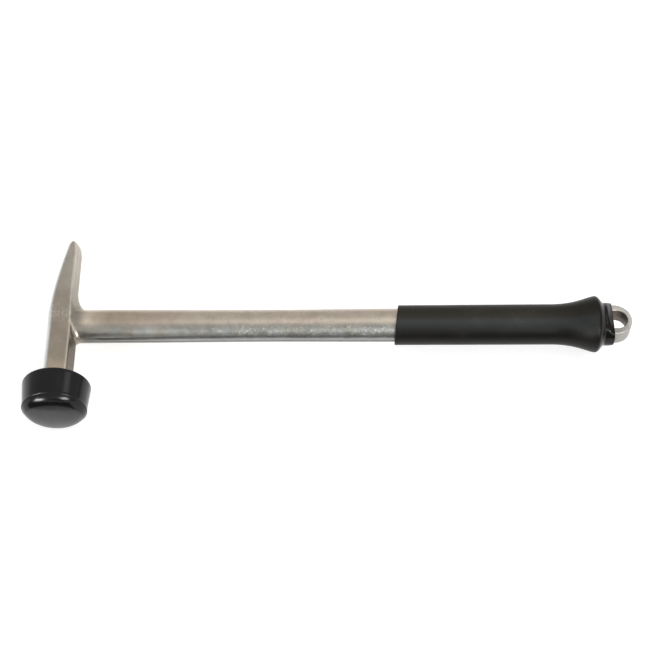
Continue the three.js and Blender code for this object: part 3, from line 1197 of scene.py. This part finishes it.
    def eye_field(self, points: np.ndarray) -> np.ndarray:
        """Distance to the flattened root and the pierced eye.

        Args:
            points: Places in the hammer's frame, in millimetres.

        Returns:
            Signed distances, below zero inside the steel.
        """
        x, y, z = points.T
        centre = self.eye_end - self.eye_half_height
        side = np.hypot(np.maximum(x - centre, 0.0), y) - self.eye_half_height
        tongue = rounded_meet(
            side, np.abs(z) - self.eye_half_thickness, self.eye_edge_radius)
        tongue = np.maximum(tongue, self.flat_from - self.tongue_overlap - x)
        flat = smooth((x - self.root_from) / (self.flat_from - self.root_from))
        edge = self.eye_edge_radius / 2.0
        height = mix(self.seat_radius, self.eye_half_height - edge, flat)
        depth = mix(self.seat_radius, self.eye_half_thickness - edge, flat)
        power = mix(CIRCLE, self.flat_squareness, flat)
        size = (np.abs(y / height) ** power + np.abs(z / depth) ** power) ** (1.0 / power)
        root = np.maximum((size - 1.0) * depth, x - self.flat_from - self.eye_edge_radius)
        wall = self.slot_radius - self.slot_draft * (
            1.0 - np.abs(z) / self.eye_half_thickness)
        slot = np.hypot(x - np.clip(x, self.slot_near, self.slot_far), y) - wall
        return rounded_meet(np.minimum(tongue, root), -slot, self.slot_lip)

    def build(self, solid: bpy.types.Mesh, skin: ForgedSkin) -> bpy.types.Object:
        """Makes the body in one closed mesh.

        Args:
            solid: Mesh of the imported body.
            skin: The tree that gives the forging its waves.

        Returns:
            The finished piece.
        """
        cuts = Cut(self.head_cut, 1.0), Cut(self.eye_cut, -1.0)
        head = refined_part(solid, cuts[0], self.head_voxel, self.head_and_shaft_field)
        eye = refined_part(solid, cuts[1], self.eye_voxel, self.eye_field)
        work = bmesh.new()
        for part in (head, self.shaft_mesh(), eye):
            work.from_mesh(part)
        for cut in cuts:
            loops = [edge for edge in work.edges if edge.is_boundary and cut.is_near(edge)]
            bmesh.ops.bridge_loops(work, edges=loops)
        bmesh.ops.recalc_face_normals(work, faces=work.faces[:])
        mesh = bpy.data.meshes.new("hammer_forging")
        work.to_mesh(mesh)
        open_edges = sum(edge.is_boundary for edge in work.edges)
        work.free()
        mesh.shade_smooth()
        LOG.info("forging: %d open edges", open_edges)
        dressed = skin.run(mesh, {
            skin.DEPTH: self.wave_height * MM, skin.WAVES: self.waves_per_metre,
            skin.SEED: self.wave_seed, skin.FINISH: self.finish.build()})
        dressed.name = "hammer_forging"
        self.mark(dressed)
        return new_piece("hammer_forging", dressed)

    def shaft_mesh(self) -> bpy.types.Mesh:
        """Skin of the shaft between the head's part and the eye's part, open at both ends.

        Returns:
            The mesh, in metres.
        """
        land = self.land_half_width / self.shaft_radius
        plain = np.linspace(land * self.land_foot, math.pi / 2.0, self.quadrant_steps)
        first = np.concatenate([land * np.array(self.land_points), plain])
        half = np.concatenate([first, math.pi - first[::-1][1:]])
        angles = np.concatenate([half, math.tau - half[::-1][1:-1]])
        bare = np.arange(
            self.head_cut, self.grip_from + self.bare_past_grip, self.station_step)
        hidden = np.arange(bare[-1] + self.hidden_step, self.eye_cut, self.hidden_step)
        stations = np.concatenate([bare, hidden])
        stations[-1] = self.eye_cut
        on_land = np.abs(np.sin(angles)) < math.sin(land * self.land_edge)
        fade = smooth((stations - self.head_cut) / self.land_fade) * smooth(
            (self.root_from - stations) / self.land_fade)
        radii = self.shaft_radius_at(stations)[:, None] + self.land_height * (
            fade[:, None] * on_land[None, :])
        rows, sides = radii.shape
        points = np.stack([
            np.repeat(stations[:, None], sides, axis=1),
            radii * np.cos(angles), radii * np.sin(angles)], axis=-1).reshape(-1, 3)
        faces = [
            (r * sides + i, r * sides + (i + 1) % sides,
             (r + 1) * sides + (i + 1) % sides, (r + 1) * sides + i)
            for r in range(rows - 1) for i in range(sides)
        ]
        mesh = bpy.data.meshes.new("shaft")
        mesh.from_pydata(place(points), [], faces)
        return mesh


@dataclass(frozen=True)
class Cut:
    """Cut across the shaft. way is 1 where the part ends there, and -1 where it starts.

    The part is cut three times: roughly beyond the cut, then closer to open it, and last short
    of the cut, where the shaft's skin is bridged to it.
    """

    at: float
    way: float
    rough: float = 2.5
    open: float = 0.5
    short: float = -1.0
    slack: float = 0.2
    thickness: float = 0.0001

    def take(self, work: bmesh.types.BMesh, beyond: float) -> None:
        """Takes away what lies further than a distance beyond the cut.

        Args:
            work: The mesh at work.
            beyond: The distance.
        """
        along = (self.at + self.way * beyond + HAMMER_ORIGIN[0]) * MM
        bmesh.ops.bisect_plane(
            work, geom=work.verts[:] + work.edges[:] + work.faces[:], dist=self.thickness * MM,
            plane_co=Vector((along, 0.0, 0.0)), plane_no=Vector((self.way, 0.0, 0.0)),
            clear_outer=True)

    def trim(self, mesh: bpy.types.Mesh, beyond: float) -> None:
        """Takes the same away from a mesh, and leaves it open.

        Args:
            mesh: The mesh, in metres.
            beyond: The distance beyond the cut.
        """
        work = bmesh.new()
        work.from_mesh(mesh)
        self.take(work, beyond)
        work.to_mesh(mesh)
        work.free()

    def is_near(self, edge: bmesh.types.BMEdge) -> bool:
        """True for an edge of one of the two rims that face each other at the cut."""
        middle = (edge.verts[0].co.x + edge.verts[1].co.x) / 2.0 / MM - HAMMER_ORIGIN[0]
        return abs(middle - self.at) < abs(self.short) + self.slack


def refined_part(
    solid: bpy.types.Mesh, cut: Cut, voxel: float, distance: Field
) -> bpy.types.Mesh:
    """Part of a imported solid, meshed finely and drawn on to its true surface.

    Args:
        solid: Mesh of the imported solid.
        cut: Where the part ends or starts.
        voxel: Size of its faces.
        distance: Signed distance from places in the hammer's frame to the surface.

    Returns:
        The part, open where it was cut.
    """
    work = bmesh.new()
    work.from_mesh(solid)
    bmesh.ops.remove_doubles(work, verts=work.verts[:], dist=SOLID_WELD)
    cut.take(work, cut.rough)
    bmesh.ops.holes_fill(work, edges=[e for e in work.edges if e.is_boundary], sides=0)
    mesh = bpy.data.meshes.new("part")
    work.to_mesh(mesh)
    work.free()
    carrier = new_piece("part", mesh)
    remesh = carrier.modifiers.new("fine", "REMESH")
    remesh.mode = "VOXEL"
    remesh.voxel_size = voxel * MM
    fine = settle(carrier)
    cut.trim(fine, cut.open)
    SurfaceFit(distance).draw(fine)
    cut.trim(fine, cut.short)
    return fine


@dataclass(frozen=True)
class SurfaceFit:
    """Moves a mesh's points on to a surface, and evens them out along it.

    distance is the signed distance from places in the hammer's frame to the surface.
    """

    distance: Field
    rounds: int = 10
    steps: int = 3
    evened_rounds: int = 7
    evening: float = 0.5
    least_steepness: float = 0.04
    longest_move: float = 0.5
    slope_step: float = 0.01
    least_length: float = 1e-6

    def draw(self, mesh: bpy.types.Mesh) -> None:
        """Moves the points of a mesh that lies close to the surface.

        Args:
            mesh: The mesh, in metres.
        """
        count = len(mesh.vertices)
        points = places_on(mesh)
        ends = np.empty(len(mesh.edges) * 2, dtype=np.int64)
        mesh.edges.foreach_get("vertices", ends)
        ends = ends.reshape(-1, 2)
        degree = np.bincount(ends.ravel(), minlength=count)[:, None]
        for round_number in range(self.rounds):
            for _ in range(self.steps):
                value, slope = self.value_and_slope(points)
                steepness = np.maximum((slope**2).sum(axis=1), self.least_steepness)
                move = np.clip(value / steepness, -self.longest_move, self.longest_move)
                points -= move[:, None] * slope
            if round_number < self.evened_rounds:
                points += self.pull(points, ends, degree, slope) * self.evening
        mesh.vertices.foreach_set("co", place(points).ravel())
        mesh.update()

    def pull(
        self, points: np.ndarray, ends: np.ndarray, degree: np.ndarray, slope: np.ndarray
    ) -> np.ndarray:
        """Pull on each point along the surface, to the middle of the points round it.

        Args:
            points: The points.
            ends: The two points of each edge.
            degree: How many edges meet at each point.
            slope: How the distance grows along each axis.

        Returns:
            The pull on each point.
        """
        total = np.zeros_like(points)
        np.add.at(total, ends[:, 0], points[ends[:, 1]])
        np.add.at(total, ends[:, 1], points[ends[:, 0]])
        pull = total / np.maximum(degree, 1) - points
        length = np.maximum(np.linalg.norm(slope, axis=1), self.least_length)
        normal = slope / length[:, None]
        return pull - (pull * normal).sum(axis=1)[:, None] * normal

    def value_and_slope(self, points: np.ndarray) -> tuple[np.ndarray, np.ndarray]:
        """Signed distances at some places, and how they grow along each axis.

        Args:
            points: The places.

        Returns:
            The distances, and a row of three slopes for each of them.
        """
        slope = np.empty_like(points)
        for axis, shift in enumerate(np.eye(3) * self.slope_step):
            slope[:, axis] = self.distance(points + shift) - self.distance(points - shift)
        return self.distance(points), slope / (2.0 * self.slope_step)


def places_on(mesh: bpy.types.Mesh) -> np.ndarray:
    """Places of a mesh's points in the hammer's frame, in millimetres.

    Args:
        mesh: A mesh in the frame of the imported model.

    Returns:
        The places, one to a row.
    """
    flat = np.empty(len(mesh.vertices) * 3)
    mesh.vertices.foreach_get("co", flat)
    return flat.reshape(-1, 3) / MM - HAMMER_ORIGIN


def place(points: np.ndarray) -> np.ndarray:
    """Places in the hammer's frame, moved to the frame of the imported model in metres."""
    return (np.asarray(points) + HAMMER_ORIGIN) * MM


def new_piece(name: str, mesh: bpy.types.Mesh) -> bpy.types.Object:
    """Puts a mesh in the scene as an object at the origin.

    Args:
        name: The object's name.
        mesh: Its mesh.

    Returns:
        The object.
    """
    piece = bpy.data.objects.new(name, mesh)
    bpy.context.scene.collection.objects.link(piece)
    return piece


@dataclass
class StrikingCap:
    """Rubber cap pushed over the poll, with a crowned face and a seam left by its mould.

    seam_profile gives the seam's points along the axis and out from the side, in seam lips.
    """

    back_at: float = -37.4
    back_radius: float = 18.1
    back_rounding: float = 1.4
    seam_radius: float = 16.9
    seam_at: float = -52.72
    seam_lip: float = 0.25
    seam_profile: tuple[Point, ...] = ((0.08, 0.6), (0.6, 1.0), (1.2, 0.7), (1.6, 0.08))
    seam_end: float = 2.0
    rim_radius: float = 7.7
    rim_degrees: float = 30.0
    crown_degrees: float = 13.0
    crown_rise: float = 1.02
    crown_power: float = 2.68
    opening_half_thickness: float = 9.9
    opening_flatten: float = 1.5
    opening_squareness: float = 3.6
    opening_lip: float = 1.0
    pocket_back: float = -40.1
    pocket_front: float = -47.7
    pocket_radius: float = 12.9
    pocket_rounding: float = 2.3
    crown_rings: int = 20
    rim_rings: int = 22
    side_rings: int = 14
    back_rings: int = 12
    fan_rings: int = 8
    lip_rings: int = 6
    pocket_rings: int = 5
    sides: int = 144
    finish: MouldedRubber = MouldedRubber(
        name="cap_rubber", colour=(0.003, 0.0031, 0.0028), bloom=(0.007, 0.007, 0.0066),
        gloss=0.26, least_roughness=0.14, skin_waves=Waves(2600.0, 3.0, 0.6),
        bump_depth=0.00001, scuff=(0.078, 0.078, 0.081), scuff_edge=Run(-0.0511, -0.0517))

    def outline(self) -> list[Ring]:
        """Outline from the middle of the face, over the side and back, and down the pocket.

        Returns:
            The closed outline's points in order.
        """
        rim, crown = math.radians(self.rim_degrees), math.radians(self.crown_degrees)
        middle = self.seam_radius - self.rim_radius * math.cos(rim)
        level = self.seam_at + self.rim_radius * math.sin(rim)
        crown_radius = middle + self.rim_radius * math.sin(crown)
        face_at = level - self.rim_radius * math.cos(crown) - self.crown_rise
        side_end = self.back_at - self.back_rounding
        lip = self.seam_lip
        face = [
            (face_at + self.crown_rise * (r / crown_radius) ** self.crown_power, r)
            for r in np.linspace(0.0, crown_radius, self.crown_rings)[:-1]
        ]
        edge = arc(
            (level, middle), self.rim_radius,
            (180.0 - self.crown_degrees, 90.0 + self.rim_degrees), self.rim_rings)
        seam = [
            (self.seam_at + lip * along, self.seam_radius + lip * out)
            for along, out in self.seam_profile
        ]
        side = [
            (mix(self.seam_at + lip * self.seam_end, side_end, t),
             mix(self.seam_radius, self.back_radius, t))
            for t in np.linspace(0.0, 1.0, self.side_rings)
        ]
        back = arc(
            (side_end, self.back_radius - self.back_rounding), self.back_rounding,
            (90.0, 0.0), self.back_rings)[1:]
        return [*rings_through([*face, *edge, *seam, *side, *back]), *self.opening()]

    def opening(self) -> list[Ring]:
        """Opening round the neck, with an eased lip, and the pocket that holds the poll.

        Returns:
            The outline's last points in order.
        """
        lip, rounding = self.opening_lip, self.pocket_rounding
        half, flatten, square = (
            self.opening_half_thickness, self.opening_flatten, self.opening_squareness)
        shoulder = self.back_radius - self.back_rounding
        fan = [
            Ring(self.back_at, mix(shoulder, half + lip, t), flatten * smooth(t),
                 mix(CIRCLE, square, smooth(t)))
            for t in np.linspace(0.0, 1.0, self.fan_rings)[1:]
        ]
        eased = arc((self.back_at - lip, half + lip), lip, (0.0, -90.0), self.lip_rings)[1:]
        neck = rings_through(
            [*eased, (self.pocket_back, half)], flatten=flatten, squareness=square)
        rim = self.pocket_radius - rounding
        pocket = rings_through([
            (self.pocket_back, rim),
            *arc((self.pocket_back - rounding, rim), rounding, (0.0, 90.0),
                 self.pocket_rings)[1:],
            *arc((self.pocket_front + rounding, rim), rounding, (90.0, 180.0),
                 self.pocket_rings),
            (self.pocket_front, 0.0)])
        return [*fan, *neck, *pocket]

    def build(self, rings: RingTree) -> bpy.types.Object:
        """Makes the cap, drawn round the shaft's axis and then turned on to the head's.

        Args:
            rings: The tree that draws mouldings.

        Returns:
            The finished piece.
        """
        mesh = rings.draw("striking_cap", self.outline(), self.sides, self.finish.build())
        along_head = Matrix(((0, 0, 1, 0), (1, 0, 0, 0), (0, 1, 0, 0), (0, 0, 0, 1)))
        mesh.transform(Matrix.Translation(HAMMER_ORIGIN * MM) @ along_head)
        return new_piece("striking_cap", mesh)


@dataclass
class GripSleeve:
    """Rubber sleeve with a slanted front edge, a flare behind the hand and a flattened collar.

    mouth_lip and bore_lip give points along the axis from the sleeve's end and its front, and
    out from the mouth and the bore.
    """

    front_at: float = 180.5
    front_radius: float = 10.8
    palm_radius: float = 10.95
    palm_lead: float = 1.5
    front_slant: float = 1.2
    edge_rounding: float = 0.5
    flare_from: float = 263.8
    flare_at: float = 288.1
    flare_radius: float = 15.3
    flare_pulls: Point = (0.6, 0.85)
    shoulder_pulls: Point = (0.4, 0.72)
    collar_from: float = 292.7
    collar_end: float = 297.7
    collar_half_height: float = 11.7
    collar_half_thickness: float = 7.6
    collar_squareness: float = 2.9
    edge_dip: float = 0.6
    bore_radius: float = 8.8
    bore_lead: float = 20.0
    bore_lip: tuple[Point, ...] = ((1.0, 0.45), (0.1, 0.6))
    root_from: float = 284.7
    flat_from: float = 294.2
    mouth_half_height: float = 9.6
    mouth_half_thickness: float = 5.0
    mouth_squareness: float = 7.0
    mouth_lip: tuple[Point, ...] = ((0.2, 0.2), (0.6, 0.0))
    edge_rings: int = 5
    palm_rings: int = 44
    flare_rings: int = 26
    shoulder_rings: int = 18
    collar_rings: int = 12
    sides: int = 120
    finish: MouldedRubber = MouldedRubber(
        name="grip_rubber", colour=(0.0035, 0.0032, 0.0026), bloom=(0.009, 0.0082, 0.0066),
        gloss=0.13, least_roughness=0.35, skin_waves=Waves(1700.0, 3.0, 0.6),
        bump_depth=0.000016, dust=(0.031, 0.0275, 0.021), dust_height=Run(0.0245, 0.0285),
        smooth_end=Run(0.1425, 0.1455))

    def down_palm(self, along: float) -> float:
        """Share of the way from the front edge to where the flare begins."""
        return (along - self.front_at) / (self.flare_from - self.front_at)

    def outline(self) -> list[Ring]:
        """Outline from the front edge over the palm, flare and collar, and back up the bore.

        Returns:
            The closed outline's points in order.
        """
        rounding = self.edge_rounding
        front = arc(
            (self.front_at + rounding, self.front_radius - rounding), rounding,
            (180.0, 90.0), self.edge_rings)
        palm = [
            (along, mix(self.front_radius, self.palm_radius, smooth(self.down_palm(along))))
            for along in np.linspace(
                self.front_at + self.palm_lead, self.flare_from, self.palm_rings)
        ]
        crest = self.flare_at, self.flare_radius
        flare = s_curve(
            (self.flare_from, self.palm_radius), crest, self.flare_pulls, self.flare_rings)
        shoulder = s_curve(
            crest, (self.collar_from, self.collar_half_height), self.shoulder_pulls,
            self.shoulder_rings)
        round_part = [
            Ring(along, radius, slant=self.front_slant * share(1.0 - self.down_palm(along)))
            for along, radius in [*front, *palm, *flare, *shoulder]
        ]
        return [*round_part, *self.collar(), *self.bore()]

    def collar(self) -> list[Ring]:
        """Collar that goes from round to the flattened form of the eye's root.

        Returns:
            The outline's next points in order.
        """
        rounding = self.edge_rounding
        last = self.collar_end - rounding
        flatten = self.collar_half_height - self.collar_half_thickness
        rings = []
        for along in np.linspace(self.collar_from, last, self.collar_rings)[1:]:
            gone = along - self.collar_from
            part = smooth(gone / (self.collar_end - self.collar_from))
            dip = self.edge_dip * (gone / (last - self.collar_from)) ** 2
            rings.append(Ring(
                along, self.collar_half_height, flatten * part,
                mix(CIRCLE, self.collar_squareness, part), dip=dip))
        edge = arc(
            (last, self.collar_half_height - rounding), rounding, (90.0, 0.0),
            self.edge_rings)[1:]
        return rings + rings_through(
            edge, flatten=flatten, squareness=self.collar_squareness, dip=self.edge_dip)

    def bore(self) -> list[Ring]:
        """Mouth round the eye's root, then the bore back to the front edge.

        Returns:
            The outline's last points in order.
        """
        flat = {"flatten": self.mouth_half_height - self.mouth_half_thickness,
                "squareness": self.mouth_squareness}
        mouth = [
            (self.collar_end - back, self.mouth_half_height + out) for back, out in self.mouth_lip]
        lip = [(self.front_at + back, self.bore_radius + out) for back, out in self.bore_lip]
        return [
            *rings_through(mouth, **flat, dip=self.edge_dip),
            Ring(self.flat_from, self.mouth_half_height, **flat),
            Ring(self.root_from, self.bore_radius),
            Ring(self.front_at + self.bore_lead, self.bore_radius),
            *rings_through(lip, slant=self.front_slant),
        ]

    def build(self, rings: RingTree) -> bpy.types.Object:
        """Makes the sleeve.

        Args:
            rings: The tree that draws mouldings.

        Returns:
            The finished piece.
        """
        mesh = rings.draw("grip_rubber", self.outline(), self.sides, self.finish.build())
        mesh.transform(Matrix.Translation(HAMMER_ORIGIN * MM))
        return new_piece("grip_rubber", mesh)


# Studio


@dataclass(frozen=True)
class Lamp:
    """Soft lamp that looks at the hammer."""

    name: str
    spot: tuple[float, float, float]
    watts: float
    width: float
    height: float

    def hang(self) -> None:
        """Puts the lamp in the scene."""
        data = bpy.data.lights.new(self.name, "AREA")
        data.energy = self.watts
        data.shape = "RECTANGLE"
        data.size, data.size_y = self.width, self.height
        lamp = bpy.data.objects.new(self.name, data)
        lamp.location = self.spot
        lamp.rotation_euler = (-Vector(self.spot)).to_track_quat("-Z", "Y").to_euler()
        bpy.context.scene.collection.objects.link(lamp)


@dataclass(frozen=True)
class Card:
    """Upright card that gives rounded steel and rubber their darker lower side."""

    name: str
    left: float
    right: float
    at: float
    top: float
    colour: Colour = (0.03, 0.03, 0.03)


@dataclass
class Studio:
    """Pale floor, soft lamps, cards in front and the camera.

    The camera's target and distance are millimetres in the hammer's frame.
    """

    floor_size: float = 12.0
    floor_colour: Colour = (0.6, 0.6, 0.6)
    floor_glow: float = 0.6
    world_level: float = 0.68
    lamps: tuple[Lamp, ...] = (
        Lamp("left_lamp", (-2.4, -3.3, 0.38), 118.0, 1.45, 0.78),
        Lamp("right_lamp", (1.75, -3.35, 1.35), 96.0, 1.35, 0.88),
        Lamp("top_lamp", (0.7, -0.05, 0.95), 3.2, 1.2, 0.4),
        Lamp("grip_lamp", (0.12, -0.06, 0.95), 0.52, 0.6, 0.45),
    )
    cards: tuple[Card, ...] = (
        Card("far_card", -8.0, 8.0, -4.8, 1.2),
        Card("cap_card", -0.2, -0.122, -0.078, 0.027),
        Card("shaft_card", -0.122, 0.045, -0.046, 0.03, (0.48, 0.48, 0.49)),
        Card("grip_card", 0.045, 0.18, -0.05, 0.044),
    )
    camera_target: tuple[float, float, float] = (141.9, 0.37, 0.0)
    camera_azimuth: float = 0.6
    camera_elevation: float = 55.2
    camera_roll: float = 0.2
    camera_distance: float = 858.0
    camera_focal_pixels: float = 1583.0
    camera_clip: float = 0.01
    frame_pixels: float = 650.0
    sensor: float = 36.0

    def build(self) -> None:
        """Makes the floor, the lamps, the world and the camera."""
        self.floor()
        for card in self.cards:
            self.put(card)
        for lamp in self.lamps:
            lamp.hang()
        world = bpy.data.worlds.new("studio")
        world.use_nodes = True
        sky = world.node_tree.nodes["Background"]
        sky.inputs["Color"].default_value = (1.0, 1.0, 1.0, 1.0)
        sky.inputs["Strength"].default_value = self.world_level
        bpy.context.scene.world = world
        bpy.context.scene.view_settings.view_transform = "Standard"
        self.camera()

    def plane(self, name: str, corners: Iterable[Sequence[float]]) -> bpy.types.Object:
        """Flat piece of the studio, which isn't part of the hammer.

        Args:
            name: The piece's name.
            corners: Its four corners.

        Returns:
            The piece.
        """
        mesh = bpy.data.meshes.new(name)
        mesh.from_pydata([tuple(c) for c in corners], [], [(0, 1, 2, 3)])
        piece = new_piece(name, mesh)
        return piece

    def floor(self) -> None:
        """Pale floor that keeps the hammer's shadow."""
        half = self.floor_size / 2.0
        floor = self.plane("floor", [
            (-half, -half, 0.0), (half, -half, 0.0), (half, half, 0.0), (-half, half, 0.0)])
        material, bench, _ = new_material("pale_floor")
        rays = bench.node("ShaderNodeLightPath").outputs
        seen = bench.calc("MAXIMUM", rays["Is Camera Ray"], bench.calc(
            "MAXIMUM", rays["Is Glossy Ray"], rays["Is Transmission Ray"]))
        body = bench.node("ShaderNodeBsdfDiffuse", {"Color": rgba(self.floor_colour)})
        glow = bench.node("ShaderNodeEmission", {
            "Strength": bench.calc("MULTIPLY", seen, self.floor_glow)})
        both = bench.node("ShaderNodeAddShader", {0: body.outputs[0], 1: glow.outputs[0]})
        bench.node("ShaderNodeOutputMaterial", {"Surface": both.outputs[0]})
        floor.data.materials.append(material)

    def put(self, card: Card) -> None:
        """Puts up a card, which shows only in what is glossy.

        Args:
            card: The card.
        """
        piece = self.plane(card.name, [
            (card.left, card.at, 0.0), (card.right, card.at, 0.0),
            (card.right, card.at, card.top), (card.left, card.at, card.top)])
        piece.visible_camera = False
        piece.visible_diffuse = False
        piece.visible_shadow = False
        material = bpy.data.materials.new(card.name)
        material.use_nodes = True
        material.node_tree.nodes["Principled BSDF"].inputs["Base Color"].default_value = rgba(
            card.colour)
        piece.data.materials.append(material)

    def camera(self) -> None:
        """Camera at the photograph's angle and framing."""
        turn, lift, roll = (math.radians(a) for a in (
            self.camera_azimuth, self.camera_elevation, self.camera_roll))
        back = Vector((
            -math.sin(turn) * math.cos(lift), -math.cos(turn) * math.cos(lift), math.sin(lift)))
        right = Vector((math.cos(turn), -math.sin(turn), 0.0))
        up = back.cross(right)
        rolled = right * math.cos(roll) + up * math.sin(roll)
        axes = Matrix((rolled, back.cross(rolled), back)).transposed()
        data = bpy.data.cameras.new("camera")
        data.sensor_width = self.sensor
        data.lens = self.sensor * self.camera_focal_pixels / self.frame_pixels
        data.clip_start = self.camera_clip
        camera = bpy.data.objects.new("camera", data)
        camera.matrix_world = Matrix.Translation(
            Vector(place(self.camera_target)) + back * self.camera_distance * MM) @ axes.to_4x4()
        bpy.context.scene.collection.objects.link(camera)
        bpy.context.scene.camera = camera


def finish_piece(piece: bpy.types.Object, node: str) -> None:
    """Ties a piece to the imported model.

    Args:
        piece: The finished piece.
        node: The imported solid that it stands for.
    """
    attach(piece, "root")
    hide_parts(node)
    piece.data.calc_loop_triangles()
    LOG.info("%s: %d triangles", piece.name, len(piece.data.loop_triangles))


def main() -> None:
    """Builds the hammer and its studio."""
    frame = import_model()
    rings = RingTree()
    solid = frame["nodes"]["hammer_body"].data
    finish_piece(ForgedBody().build(solid, ForgedSkin()), "hammer_body")
    finish_piece(StrikingCap().build(rings), "rubber_cap")
    finish_piece(GripSleeve().build(rings), "grip_sleeve")
    Studio().build()


if __name__ == "__main__":
    logging.basicConfig(level=logging.INFO, format="%(message)s")
    main()
